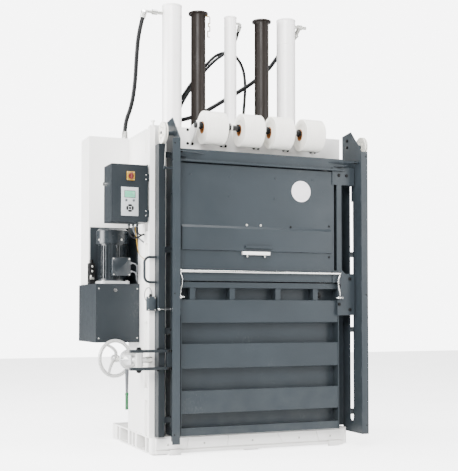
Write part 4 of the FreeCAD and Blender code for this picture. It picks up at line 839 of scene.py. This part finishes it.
class BALER_OT_ropes(BalerOperator):
    """Wire ropes over the pulleys, to the gate and to the counterweights"""
    bl_idname = "baler.ropes"
    bl_label = "Ropes"

    def make(self, sizes):
        low, high = corners("gate_ropes")
        rope = sizes.rope_size / 2
        row, height, reach = -0.545, 2.255, 0.071
        over, down, lift = [], [], []
        for across in (low[0] + rope, high[0] - rope):
            top = np.array((across, low[1] + rope + 0.0004, high[2] - 0.001))
            foot = np.array((across, high[1] - rope, low[2] + 0.002))
            if abs(top[1] - row) < abs(foot[1] - row) - 0.03:
                top[1], foot[1] = high[1] - rope, low[1] + rope
            lift += helix(foot, top, 0.55 * rope * 1.2, 6, 12, 0.36 * rope * 1.05)
            weight_low = np.array(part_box("weight_ropes")[0])
            bottom = (across, row + reach, weight_low[2])
            crest = (across, row + reach, height)
            down += helix(bottom, crest, 0.66 * rope, 6, 40, 0.38 * rope)
            start = math.atan2(top[2] - height, top[1] - row)
            angle = np.linspace(0.0, start % (2 * math.pi), 40)
            arc = np.column_stack([np.full(40, across), row + reach * np.cos(angle),
                                   height + reach * np.sin(angle)])
            over.append(carried(arc, rope * 0.96, 8, X))
        lifted = piece("gate_rope_strands", lift, "rope_steel", None, 60)
        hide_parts("gate_ropes")
        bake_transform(lifted)
        hung = piece("weight_rope_strands", down, "rope_steel", None, 60)
        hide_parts("weight_ropes")
        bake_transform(hung)
        piece("pulley_rope_arcs", over, "rope_steel", "door", 60)


class BALER_OT_safety_bar(BalerOperator):
    """The polished safety bar with bent ends, eyes and nuts"""
    bl_idname = "baler.safety_bar"
    bl_label = "Safety bar"

    def make(self, sizes):
        low, high = corners("safety_bar")
        row, pivot, bar = BAIL_ROW, BAIL_PIVOT, 1.288
        shapes = []
        tube = [(0.002, 0), (0.0095, 0.0015), (0.0095, 0.004)]
        length = high[0] - low[0] - 0.004
        rod = np.array(tube + [(0.0095, length - 0.004), (0.0095, length - 0.0015),
                               (0.002, length)])
        shapes.append(turned(rod, (low[0] + 0.002, row, bar), X, 24))
        for across, lean in ((low[0] + 0.006, 1), (high[0] - 0.006, -1)):
            route = [(across, row, bar), (across + 0.001 * lean, row, bar - 0.02),
                     (across + 0.014 * lean, row, bar - 0.045),
                     (across + 0.014 * lean, row, bar - 0.09), (across, row, pivot + 0.04),
                     (across, row, pivot)]
            shapes.append(carried(eased(route, 40), 0.0058, 12, Y))
            eye = [(0.0055, -0.005), (0.0115, -0.005), (0.0125, 0.0), (0.0115, 0.005),
                   (0.0055, 0.005)]
            shapes.append(turned(eye, (across, row, pivot), X, 24, loop=True))
            collar = [(0.0097, -0.005), (0.0135, -0.004), (0.0135, 0.004), (0.0097, 0.005)]
            shapes.append(turned(collar, (across + 0.004 * lean, row, bar), X, 24,
                                 loop=True))
            shapes.append(turned([(0.003, 0), (0.0105, 0.001), (0.0105, 0.010),
                                  (0.006, 0.013), (0.0055, 0.026), (0.003, 0.027)],
                                 (across + 0.005 * lean, row, pivot), lean * X, 6))
        item = piece("safety_bar_rod", shapes, "polished", "bail", 60)
        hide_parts("safety_bar")


class BALER_OT_lock(BalerOperator):
    """Handwheel, lever and castings of the door lock"""
    bl_idname = "baler.lock"
    bl_label = "Door lock"

    def make(self, sizes):
        reach, rim = 0.315, 0.1245
        angle = np.linspace(0, 2 * math.pi, 97)[:-1]
        ring = np.column_stack([np.cos(angle), np.zeros(96), np.sin(angle)])
        turn = np.linspace(0, 2 * math.pi, 16, endpoint=False)
        points = ring[:, None] * (rim + 0.013 * np.cos(turn))[None, :, None] + \
            np.array((0, reach, 0)) - 0.013 * np.sin(turn)[None, :, None] * Y
        shapes = [skin(points, loop=True)]
        for i in range(3):
            share = np.array((0.14, 0.40, 0.70, 0.99))
            swing = np.radians(90 + 120 * i + np.array((0, 8, 24, 36)))
            route = np.column_stack([share * rim * np.cos(swing),
                                     reach + np.array((-0.010, -0.024, -0.016, 0.0)),
                                     share * rim * np.sin(swing)])
            size = np.linspace(0.014, 0.0095, 20)
            shapes.append(carried(eased(route, 20), size, 12, Y, 0.62))
        hub = [(0.010, -0.030), (0.024, -0.028), (0.027, -0.020), (0.027, 0.014),
               (0.022, 0.022), (0.012, 0.024)]
        shapes.append(turned(hub, (0, reach, 0), Y, 32))
        shapes += bolt((0, reach + 0.024, 0), Y, 0.026, paint=1)
        shapes.append(turned([(0.011, 0), (0.011, 0.222)], (0, 0.080, 0), Y, 24, paint=1))
        thread = np.linspace(0, 0.1, 61)
        shapes.append(turned(np.column_stack([0.0118 + 0.0012 * (np.arange(61) % 2),
                                              thread]), (0, 0.19, 0), Y, 20, paint=1))
        collar = [(0.0112, 0), (0.023, 0), (0.024, 0.001), (0.024, 0.038), (0.022, 0.040),
                  (0.0112, 0.040)]
        shapes.append(turned(collar, (0, 0.1592, 0), Y, 36, loop=True))
        item = piece("wheel_casting", [on_lock(s) for s in flat_list(shapes)],
                     ["cast_white", "zinc"], "wheel", 45)
        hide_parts("handwheel")

        ring = [(0.0204, 0), (0.033, 0), (0.034, 0.002), (0.034, 0.010), (0.033, 0.012),
                (0.0204, 0.012)]
        shapes = [turned(ring, (0, 0.1463, 0), Y, 40, loop=True)]
        arm = np.array(((0, 0.153, -0.026), (0, 0.155, -0.10), (0, 0.155, -0.17),
                        (0, 0.155, -0.235)))
        shapes.append(carried(eased(arm, 16), np.linspace(0.017, 0.0100, 16), 12, Y, 0.55,
                              paint=1))
        grip = [(0.006, 0.0), (0.0105, 0.002), (0.0118, 0.008), (0.0112, 0.020),
                (0.0112, 0.100), (0.0135, 0.106), (0.0135, 0.113), (0.009, 0.120)]
        shapes.append(turned(grip, (0, 0.155, -0.350), Z, 28, paint=2))
        item = piece("lever_and_grip", [on_lock(s) for s in shapes],
                     ["cast_white", "dull_steel", "green_grip"], "lever", 45)
        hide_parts("lock_lever")

        shapes = []
        for side in (-1, 1):
            for along in (0.075, 0.105):
                shapes += bolt((side * 0.034, along, 0.0), side * X, 0.015, 1)
            shapes.append(slab((side * 0.030 - 0.006, 0.045, -0.034),
                               (side * 0.030 + 0.006, 0.125, 0.034), 0.004))
            rib = [(side * 0.024, 0.052, 0), (side * 0.052, 0.10, 0), (side * 0.058, 0.13, 0)]
            shapes.append(carried(eased(rib, 12), 0.006, 10, Z))
        flange = [(0.030, 0.1285), (0.066, 0.1285), (0.0695, 0.132), (0.0695, 0.142),
                  (0.066, 0.1457), (0.030, 0.1457)]
        shapes.append(turned(flange, (0, 0, 0), Y, 48, loop=True))
        for i in range(6):
            place = (0.054 * math.cos(i * math.pi / 3), 0.1285,
                     0.054 * math.sin(i * math.pi / 3))
            shapes += bolt(place, -Y, 0.013, 1)
        nose = [(0.006, 0), (0.020, 0.0), (0.0225, 0.003), (0.0225, 0.044), (0.019, 0.047),
                (0.006, 0.047)]
        shapes.append(turned(nose, (0.056, 0, 0), X, 6, paint=1))
        piece("lock_trim", [on_lock(s) for s in flat_list(shapes)], ["cast_grey", "zinc"],
              "lock", 45)

        low, high = corners("lock_arms")
        across, row, middle = LOCK_PIN
        shapes = []
        for level in (low[2] + 0.018, high[2] - 0.018):
            up = 1 if level > middle else -1
            plate = middle + up * 0.070
            shapes += bolt((across, row, plate), up * Z, 0.034)
            for near in (-0.672, -0.690):
                shapes += bolt((near, -0.600, plate - up * 0.010), -Y, 0.016)
            shapes += bolt((-0.760, row, plate), up * Z, 0.020)
        piece("lock_arm_bolts", shapes, "black_steel", "door")


class BALER_OT_motor(BalerOperator):
    """Rounded terminal box, flange bolts, glands and cowl trim of the motor"""
    bl_idname = "baler.motor"
    bl_label = "Motor details"

    def make(self, sizes):
        across, row = -0.949, -0.080
        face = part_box("terminal_box")[0][1]
        shapes = [slab((across - 0.039, face + 0.010, 1.266), (across + 0.087, -0.171, 1.389),
                       0.008, 1),
                  slab((across - 0.044, face, 1.261), (across + 0.092, face + 0.012, 1.394),
                       0.005, 1)]
        for x in (across - 0.034, across + 0.082):
            for z in (1.271, 1.384):
                shapes += screw((x, face, z), -Y, 0.0048, 1)
        for z in (1.295, 1.355):
            gland = [(0.006, -0.002), (0.012, 0.0), (0.012, 0.010), (0.0095, 0.011),
                     (0.0105, 0.014), (0.0105, 0.020), (0.0055, 0.026)]
            shapes.append(turned(gland, (across + 0.087, -0.210, z), X, 8, paint=2))
        item = piece("terminal_box_cast", shapes, ["motor_blue", "zinc", "cable_grey"],
                     "frame", 40)
        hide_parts("terminal_box")
        shapes = []
        for turn in (45, 135, 225, 315):
            angle = math.radians(turn)
            shapes += bolt((across + 0.122 * math.cos(angle), row + 0.122 * math.sin(angle),
                            1.225), Z, 0.020)
        for i in range(4):
            angle = math.radians(20 + 90 * i)
            out = np.array((math.cos(angle), math.sin(angle), 0))
            shapes += bolt(np.array((across, row, 1.525)) + 0.1148 * out, out, 0.012)
        bands = [(0.1152, 0.0), (0.1166, 0.001), (0.1166, 0.006), (0.1152, 0.007)]
        shapes.append(turned(bands, (across, row, 1.500), Z, 64, loop=True, paint=1))
        crown = [(0.004, 0.012), (0.022, 0.010), (0.028, 0.004), (0.030, -0.002)]
        shapes.append(turned(crown[::-1], (across, row, 1.606), Z, 32, paint=1))
        piece("motor_hardware", shapes, ["zinc", "motor_blue"], "frame", 40)


class BALER_OT_control(BalerOperator):
    """Keypad, display, main switch, hinge screws, lock slot (drawn as a dark sheet of painted
    shade) and glands of the control cabinet
    """
    bl_idname = "baler.control"
    bl_label = "Control details"

    def make(self, sizes):
        front, across, middle = -0.480, -0.936, 1.770
        shapes = [slab((across - 0.062, front - 0.003, middle - 0.100),
                       (across + 0.062, front, middle + 0.100), 0.0014, 1, 0),
                  slab((across - 0.040, front - 0.0042, middle + 0.026),
                       (across + 0.040, front - 0.002, middle + 0.076), 0.001, 1, 2),
                  slab((across - 0.037, front - 0.0048, middle + 0.029),
                       (across + 0.037, front - 0.003, middle + 0.073), 0.0007, 1, 1)]
        for radius, x, z in ((0.010, -0.026, 0.008), (0.010, 0.028, 0.008)):
            key = [(radius, 0), (radius, 0.0008), (0.85 * radius, 0.0018),
                   (0.4 * radius, 0.0022)]
            place = (across + x, front - 0.003, middle + z)
            shapes.append(turned(key, place, -Y, 24, paint=3))
            shapes.append(turned([(0.0042, 0.0018), (0.0042, 0.0027), (0.001, 0.0028)], place,
                                 -Y, 12, paint=2))
        for turn in range(4):
            shapes.append(self.arrow_key(across + 0.001, front - 0.003, middle - 0.046, turn))
        shapes.append(turned([(0.0085, 0), (0.0085, 0.0008), (0.007, 0.0018),
                              (0.002, 0.0022)], (across + 0.001, front - 0.003,
                                                 middle - 0.046), -Y, 24, paint=2))
        item = piece("keypad_face", shapes, ["film_grey", "display", "key_dark", "key_grey"],
                     "control_lid", 40)
        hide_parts("keypad_panel")

        low, high = corners("main_switch_plate")
        shapes = [slab(low, high, 0.0022, 1)]
        for x in (low[0] + 0.006, high[0] - 0.006):
            for z in (low[2] + 0.006, high[2] - 0.006):
                shapes += screw((x, low[1], z), -Y, 0.0026, 1)
        ring = [(0.021, 0), (0.0245, 0.0005), (0.0245, 0.003), (0.021, 0.0035)]
        shapes.append(turned(ring, (-0.930, low[1], 1.947), -Y, 36, loop=True))
        item = piece("switch_backing", shapes, ["yellow_plastic", "zinc"], "control_lid",
                     40)
        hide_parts("main_switch_plate")
        knob = [(0.008, 0), (0.0185, 0.0005), (0.019, 0.002), (0.0185, 0.010),
                (0.0165, 0.012), (0.006, 0.0122)]
        base = low[1] - 0.0004
        shapes = [turned(knob, (-0.930, base, 1.947), -Y, 36),
                  slab((-0.937, base - 0.0295, 1.924), (-0.923, base - 0.010, 1.970),
                       0.0035, 1)]
        item = piece("switch_knob", shapes, "red_plastic", "main_switch", 40)
        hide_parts("main_switch_handle")

        shapes = []
        for z in (1.946, 1.692):
            for dz in (-0.016, 0.016):
                shapes += screw((-0.8015, -0.446, z + 0.3 * dz), X, 0.003)
                shapes += screw((-0.8175, -0.480, z + dz), -Y, 0.0042)
        piece("hinge_screws", shapes, "polished", "control_lid")
        low, high = corners("side_lock")
        # The key slot of the side lock is a thin black sheet on the lock's face: painted shade,
        # standing in for the dark inside of the slot.
        key = slab((low[0] - 0.0006, -0.3115, 1.899), (low[0] + 0.0012, -0.3085, 1.911),
                   0.0004, 0)
        piece("side_lock_slot_painted_shade", [key], "black_steel", "side_lock")
        shapes = []
        for x in (-0.906, -0.876, -0.846):
            gland = [(0.007, 0.0), (0.0105, 0.0), (0.0105, 0.010), (0.0085, 0.011),
                     (0.0095, 0.013), (0.0095, 0.018), (0.006, 0.024)]
            shapes.append(turned(gland, (x, -0.364, 1.630), -Z, 8))
        piece("cabinet_glands", shapes, "cable_grey", "frame")

    def arrow_key(self, across, front, middle, turn):
        """A key of the ring of four: a sector whose sides run at 38 degrees to its axis.

        Its outline is an arc at the outer radius and one at the inner radius, and each
        loop of the grid is that outline drawn in a little as it rises.
        """
        swing = np.radians(90 * turn) + np.radians(np.linspace(-38, 38, 12))
        loops = []
        for inset, rise in ((0, 0), (0, 0.0010), (0.0012, 0.0021), (0.0045, 0.0024)):
            trim = 1 - 0.12 * inset / 0.0012 * (inset < 0.002) - 0.5 * (inset > 0.002)
            angle = np.radians(90 * turn) + (swing - np.radians(90 * turn)) * trim
            reach = np.concatenate([np.full(12, 0.027 - inset), np.full(12, 0.0135 + inset)])
            angle = np.concatenate([angle, angle[::-1]])
            loops.append(np.column_stack([across + reach * np.cos(angle),
                                          np.full(24, front - rise),
                                          middle + reach * np.sin(angle)]))
        return skin(np.array(loops), paint=2)


class BALER_OT_gate(BalerOperator):
    """Handle, blank disc, press nuts and bolts of the filling gate, and the strap knobs"""
    bl_idname = "baler.gate"
    bl_label = "Gate details"

    def make(self, sizes):
        shapes = [slab((-0.134, GATE_FRONT - 0.030, 1.411), (0.079, GATE_FRONT - 0.018, 1.435),
                       0.0035, 0)]
        for x in (-0.127, 0.072):
            shapes.append(slab((x - 0.007, GATE_FRONT - 0.022, 1.412),
                               (x + 0.007, GATE_FRONT, 1.434),
                               0.003, 1))
        for x in (-0.096, 0.041):
            shapes.append(turned([(0.003, 0), (0.006, 0.002), (0.006, 0.020),
                                  (0.005, 0.022)], (x, GATE_FRONT - 0.014, 1.392), Z, 18,
                                 paint=1))
            shapes.append(slab((x - 0.008, GATE_FRONT - 0.020, 1.411),
                               (x + 0.008, GATE_FRONT, 1.420),
                               0.002, 1))
        item = piece("gate_grip", shapes, ["frame_white", "zinc"], "gate", 40)
        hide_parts("gate_handle")

        disc = [(0.004, 0.0014), (0.060, 0.0014), (0.061, 0.0009), (0.064, 0.0009),
                (0.065, 0.0014), (0.0765, 0.0014), (0.078, 0.0)]
        piece("gate_disc", [turned(disc[::-1], (0.343, GATE_FRONT, 1.889), -Y, 72)],
              "disc_white", "gate", 30)

        shapes = []
        for x, z in ((-0.525, 1.970), (-0.226, 1.971), (0.135, 1.974), (0.437, 1.976),
                     (-0.230, 1.830), (0.127, 1.825)):
            dimple = [(0.0095, 0), (0.0085, 0.0014), (0.006, 0.0018), (0.0052, 0.0004),
                      (0.001, 0.0004)]
            shapes.append(turned(dimple, (x, GATE_FRONT, z), -Y, 20))
        piece("gate_press_nuts", shapes, "slate", "gate")
        shapes = []
        for x in (-0.094, 0.016):
            shapes += bolt((x, GATE_FRONT, 1.627), -Y, 0.014, 1)
        for x, z in ((0.574, 1.639), (0.574, 1.409), (0.256, 1.624)):
            shapes += bolt((x, GATE_FRONT, z), -Y, 0.013)
        for x, z in ((0.655, 2.025), (0.720, 2.025), (0.655, 1.060), (0.655, 1.200),
                     (0.745, 1.020), (0.745, 1.250), (-0.612, 1.020), (-0.612, 1.235)):
            shapes += bolt((x, -0.590, z), -Y, 0.020)
        for x, side in ((0.668, 1), (-0.624, -1)):
            nut = [(0.004, 0), (0.010, 0.0005), (0.010, 0.007), (0.008, 0.008),
                   (0.003, 0.008)]
            shapes.append(turned(nut, (x, BAIL_ROW, BAIL_PIVOT), side * X, 6, paint=1))
        for x, start in ((0.644, -1), (-0.598, 1)):
            shapes.append(turned([(0.003, 0), (0.009, 0.001), (0.009, 0.006), (0.004, 0.008)],
                                 (x, BAIL_ROW, BAIL_PIVOT), start * X, 20, paint=1))
        knob = [(0.004, 0), (0.010, 0.002), (0.010, 0.010), (0.018, 0.014), (0.021, 0.022),
                (0.018, 0.030), (0.006, 0.033)]
        piece("gate_bolts", shapes, ["black_steel", "zinc"], "gate", 40)
        shapes = [turned(knob, (0.522, -0.486, 1.126), -Y, 28),
                  turned(knob, (0.619, -0.486, 1.004), -Y, 28)]
        piece("strap_knobs", shapes, "black_steel", "door", 40)


class BALER_OT_rail_lip(BalerOperator):
    """Lip and gussets of the top rail, and rounded edges of the ribs"""
    bl_idname = "baler.rail_lip"
    bl_label = "Rail lip"

    def make(self, sizes):
        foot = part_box("top_rail")[0][2]
        left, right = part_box("door_plate_left")[1][0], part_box("door_plate_right")[0][0]
        front, rib_edge = RAIL_FRONT, -0.5635
        shapes = [slab((left, front - 0.030, foot - 0.002),
                       (right - 0.096, front, foot + 0.004), 0.0015, 2),
                  slab((left, front - 0.030, foot - 0.002),
                       (right - 0.096, front - 0.0255, foot + 0.012), 0.0015, 1)]
        for across in (left + 0.020, -0.20, 0.24, right - 0.130):
            shapes.append(bead((across - 0.012, front, foot + 0.006),
                               (across + 0.012, front, foot + 0.006), 0.0035))
        piece("top_rail_lip", shapes, "slate", "door", 40)
        shapes = []
        proud = 0.0005
        levels = [level for low, high in RIBS for level in (low - proud, high + proud)]
        for level in levels[1:]:
            ends = np.linspace((-0.583, rib_edge, level), (0.655, rib_edge, level), 6)
            shapes.append(carried(ends, 0.0028, 8, Z))
        piece("rib_edges", shapes, "slate", "door", 60)
        shapes = []
        for across, way in ((left + 0.004, 1), (right - 0.104, -1)):
            outline = [(across, front - 0.002), (across + 0.075 * way, front - 0.002),
                       (across, front - 0.070)]
            loops = [[(x, y, z) for x, y in outline] for z in (foot + 0.030,
                                                               foot + 0.036)]
            shapes.append(skin(np.array(loops)[::way]))
        piece("rail_gussets", shapes, "slate", "door", 30)


class BALER_OT_fasteners(BalerOperator):
    """Bolts, screws and pin caps on the door and the frame, and the cover's screws"""
    bl_idname = "baler.fasteners"
    bl_label = "Fasteners"

    def make(self, sizes):
        size = sizes.bolt_size
        shapes = []
        for x in (0.834, -0.673):
            for z in (0.165, 1.130, 2.165):
                shapes += screw((x, -0.680, z), -Y, 0.0055)
        for side, x in ((1, 0.801), (-1, -0.640)):
            for z in (0.26, 0.87, 1.44, 2.11):
                for y in (-0.486, -0.466):
                    shapes += bolt((x, y - 0.012 * (y < -0.47), z + 0.008), side * X,
                                   0.6 * size)
        for x in (0.772, -0.611):
            shapes += bolt((x, -0.632, 2.118), -Z, 0.8 * size)
            shapes += bolt((x, -0.632, 2.126), Z, 0.8 * size)
        for z in (2.262, 2.312):
            shapes += bolt((0.795, -0.470, z), -X, 0.9 * size)
        piece("door_fasteners", shapes, "black_steel", "door")
        shapes = []
        roll_low, roll_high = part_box("strap_roll_1")
        axle = (roll_low[2] + roll_high[2]) / 2 + 0.0147
        roll_brackets = (-0.452, -0.191, 0.072, 0.318, 0.548)
        for x in roll_brackets:
            for z in (2.225, 2.325):
                for side in (-1, 1):
                    shapes += bolt((x + side * 0.018, BEAM_FRONT, z), -Y, 0.8 * size)
            end = [(0.006, 0), (0.012, 0.001), (0.012, 0.009), (0.009, 0.013), (0.004, 0.014)]
            for side in (-1, 1):
                shapes.append(turned(end, (x + side * 0.004, -0.505, axle + 0.022), side * X,
                                     20))
        for x in (-0.60, -0.555):
            for z in (2.20, 2.29):
                shapes += bolt((x, BEAM_FRONT, z), -Y, size)
        for middle, radius, count in ((-MAIN_ACROSS, 0.089, 8), (MAIN_ACROSS, 0.089, 8),
                                      (0, 0.063, 6)):
            for i in range(count):
                angle = 2 * math.pi * (i + 0.5) / count
                shapes += bolt((middle + radius * math.cos(angle),
                                CYLINDER_ROW + radius * math.sin(angle), DECK_TOP), Z, 0.018)
        hinge_across, hinge_row, knuckle = 0.835, -0.385, 0.066
        cap = [(0.004, 0), (0.0125, 0), (0.0125, 0.004), (0.009, 0.006), (0.003, 0.007)]
        for z in (0.33, 1.15, 1.97):
            for way in (1, -1):
                shapes.append(turned(cap, (hinge_across, hinge_row, z + way * knuckle),
                                     way * Z, 24))
        piece("frame_fasteners", shapes, "black_steel", "frame")
        shapes = []
        for x in (-0.654, -0.383, -0.008, 0.368, 0.628):
            shapes += screw((x, -0.487, 0.074), -Y, 0.008)
        for x in (-1.085, -0.800):
            for z in (0.815, 1.17):
                shapes += screw((x, -0.223, z), -Y, 0.005)
        piece("cover_screws", shapes, "zinc", "frame")


class BALER_OT_cylinders(BalerOperator):
    """Caps, seams and foot welds of the cylinders, and the caps of the guide tubes"""
    bl_idname = "baler.cylinders"
    bl_label = "Cylinder details"

    def make(self, sizes):
        shapes = []
        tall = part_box("press_cylinders")[1][2]
        for x, radius, top in ((-MAIN_ACROSS, 0.074, tall), (MAIN_ACROSS, 0.074, tall),
                               (0.0, 0.0475, tall - 0.031)):
            edge = [(radius + 0.0002, -0.012), (radius + 0.0018, -0.0105),
                    (radius + 0.0018, -0.0015), (radius, 0.0), (0.90 * radius, 0.0015),
                    (0.86 * radius, 0.0004), (0.1 * radius, 0.0004)]
            shapes.append(turned(edge, (x, CYLINDER_ROW, top), Z, 64))
            for level in (0.20, 0.268) if x > 0.1 else (0.085,):
                seam = [(radius - 0.0002, -0.004), (radius + 0.0011, -0.002),
                        (radius + 0.0011, 0.002), (radius - 0.0002, 0.004)]
                shapes.append(turned(seam, (x, CYLINDER_ROW, top - level), Z, 64, loop=True))
            foot = [(radius, 0.020), (radius + 0.010, 0.010), (radius + 0.012, 0.0),
                    (radius, 0.0)]
            shapes.append(turned(foot, (x, CYLINDER_ROW, DECK_TOP), Z, 64, loop=True))
        piece("cylinder_trim", shapes, "cylinder_white", "frame", 50)
        shapes = []
        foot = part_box("guide_tubes")[1][2] - 0.012
        for x in (-GUIDE_ACROSS, GUIDE_ACROSS):
            cap = [(0.072, 0.0118), (0.0752, 0.0122), (0.0757, 0.006), (0.0752, -0.0002),
                   (0.058, -0.002), (0.057, -0.010)]
            shapes.append(turned(cap[::-1], (x, CYLINDER_ROW, foot), Z, 64))
            shapes += bolt((x, CYLINDER_ROW, foot + 0.012), Z, 0.040)
        piece("guide_caps", shapes, "guide_brown", "ram", 40)


class BALER_OT_welds(BalerOperator):
    """Weld beads along the joints of the door and the frame"""
    bl_idname = "baler.welds"
    bl_label = "Welds"

    def make(self, sizes):
        shapes = []
        for low, high in RIBS:
            for x in (-0.584, 0.656):
                for z in (low, high):
                    shapes.append(bead((x, -0.556, z), (x, -0.500, z), 0.0032))
        door_posts = (-0.499, -0.196, 0.165, 0.472)
        for x in door_posts:
            for side in (-0.020, 0.020):
                for start, end in ((1.088, 1.110), (1.150, 1.172)):
                    shapes.append(bead((x + side, -0.557, start), (x + side, -0.557, end),
                                       0.003))
        for side, x in ((-1, -0.634), (1, 0.795)):
            for z in (0.20, 0.52, 0.85, 1.18, 1.50, 1.82):
                shapes.append(bead((x, -0.673, z), (x, -0.673, z + 0.06), 0.0034))
            for y in (-0.576, -0.540):
                shapes.append(bead((x - side * 0.002, y, 2.062),
                                   (x - side * 0.002, y, 2.110), 0.0034))
        piece("door_welds", shapes, "slate", "door", 60)
        shapes = []
        for x in (-0.784, 0.784):
            for y in (-0.30, -0.16, -0.02):
                shapes.append(bead((x, y, SKID_TOP), (x, y + 0.08, SKID_TOP), 0.004))
        for z in (0.42, 1.02, 1.62, 2.13):
            shapes.append(bead((-0.783, -0.349, z), (-0.783, -0.349, z + 0.07), 0.0035))
        for x in (-0.43, -0.17, 0.10, 0.34):
            shapes.append(bead((x, -0.374, 2.340), (x + 0.06, -0.374, 2.340), 0.003))
        for x in (-0.60, -0.30, 0.0, 0.30, 0.60):
            shapes.append(bead((x - 0.04, 0.350, SKID_TOP), (x + 0.04, 0.350, SKID_TOP), 0.004))
        piece("frame_welds", shapes, "frame_white", "frame", 60)


class BALER_OT_switches(BalerOperator):
    """Limit switch details, its link to the door and the valve block's knobs"""
    bl_idname = "baler.switches"
    bl_label = "Switch details"

    def make(self, sizes):
        low, high = corners("limit_switch")
        shapes = [slab((low[0], low[1], low[2]), (high[0], high[1], high[2] - 0.018), 0.005,
                       1),
                  turned([(0.007, 0), (0.011, 0.001), (0.011, 0.012), (0.008, 0.018),
                          (0.004, 0.020)], ((low[0] + high[0]) / 2 - 0.004, -0.500,
                                            high[2] - 0.019), Z, 16, paint=1)]
        for z in (1.018, 1.102):
            for x in (low[0] + 0.007, high[0] - 0.007):
                shapes += screw((x, low[1], z), -Y, 0.0042, 2)
        lid = slab((low[0] + 0.003, low[1] - 0.003, 1.028), (high[0] - 0.003, low[1] + 0.001,
                                                           1.092), 0.0012, 1, 0)
        shapes.append(lid)
        item = piece("limit_switch_case", shapes, ["slate", "black_plastic", "zinc"],
                     "frame", 40)
        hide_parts("limit_switch")
        shapes = [turned([(0.0042, 0), (0.0085, 0.0005), (0.0085, 0.006), (0.0042, 0.0065)],
                         (-0.758, -0.500, 1.022), X, 6, loop=True)]
        piece("plunger_nut", shapes, "polished", "plunger")
        row, level = -0.578, 1.022
        rod = np.array([(x, row, level) for x in (-0.742, -0.700, -0.655)])
        shapes = [carried(rod, 0.0038, 10, Y)]
        swing = np.linspace(0.12, math.pi - 0.12, 12)
        ball = 0.0085 * np.column_stack([np.sin(swing), -np.cos(swing)])
        for across, way in ((-0.752, 1), (-0.648, -1)):
            shapes.append(turned(ball, (across, row, level), X, 20))
            shapes.append(turned([(0.003, 0), (0.0068, 0.0006), (0.0068, 0.009),
                                  (0.003, 0.0096)], (across + 0.012 * way, row, level),
                                 way * X, 6))
            shapes.append(turned([(0.003, 0), (0.0050, 0.001), (0.0050, 0.016),
                                  (0.003, 0.017)], (across + 0.024 * way, row, level),
                                 way * X, 12))
        shapes.append(slab((-0.656, -0.584, 1.004), (-0.640, -0.572, 1.040), 0.002, 0, 0))
        shapes.append(turned([(0.002, 0), (0.0075, 0.001), (0.0075, 0.006), (0.004, 0.008)],
                             (-0.752, -0.586, level), -Y, 6))
        piece("switch_link", shapes, "polished", "door", 45)
        low, high = corners("valve_block")
        shapes = [slab((low[0] - 0.002, -0.034, 1.240), (low[0] + 0.030, -0.028, 1.270),
                       0.001, 1, 1)]
        for z in (1.30, 1.335):
            shapes.append(turned([(0.003, 0), (0.008, 0.001), (0.008, 0.008),
                                  (0.005, 0.010)], (low[0] + 0.016, -0.030, z), -Y, 12,
                                 paint=1))
        piece("valve_knobs", shapes, ["black_plastic", "zinc"], "frame")


# ---------------------------------------------------------------- panel and start
OPERATORS = [BALER_OT_stage, BALER_OT_hoses, BALER_OT_cables, BALER_OT_finishes,
             BALER_OT_strap_rolls, BALER_OT_ropes, BALER_OT_safety_bar, BALER_OT_lock,
             BALER_OT_motor, BALER_OT_control, BALER_OT_gate, BALER_OT_rail_lip,
             BALER_OT_fasteners, BALER_OT_cylinders, BALER_OT_welds, BALER_OT_switches]


class BALER_PT_panel(bpy.types.Panel):
    """Lists the baler's operators and settings"""
    bl_label = "Recycling baler"
    bl_idname = "BALER_PT_panel"
    bl_space_type = "VIEW_3D"
    bl_region_type = "UI"
    bl_category = "Baler"

    def draw(self, context):
        for settings in (context.scene.baler_stage, context.scene.baler_pieces):
            for name in settings.__annotations__:
                self.layout.prop(settings, name)
        for operator in OPERATORS:
            self.layout.operator(operator.bl_idname)


CLASSES = [StageSettings, PieceSettings, *OPERATORS, BALER_PT_panel]


def register():
    for item in CLASSES:
        bpy.utils.register_class(item)
    bpy.types.Scene.baler_stage = bpy.props.PointerProperty(type=StageSettings)
    bpy.types.Scene.baler_pieces = bpy.props.PointerProperty(type=PieceSettings)


def unregister():
    del bpy.types.Scene.baler_stage
    del bpy.types.Scene.baler_pieces
    for item in reversed(CLASSES):
        bpy.utils.unregister_class(item)


def main():
    register()
    for operator in OPERATORS:
        getattr(bpy.ops.baler, operator.bl_idname.split(".")[1])()


if __name__ == "__main__":
    main()
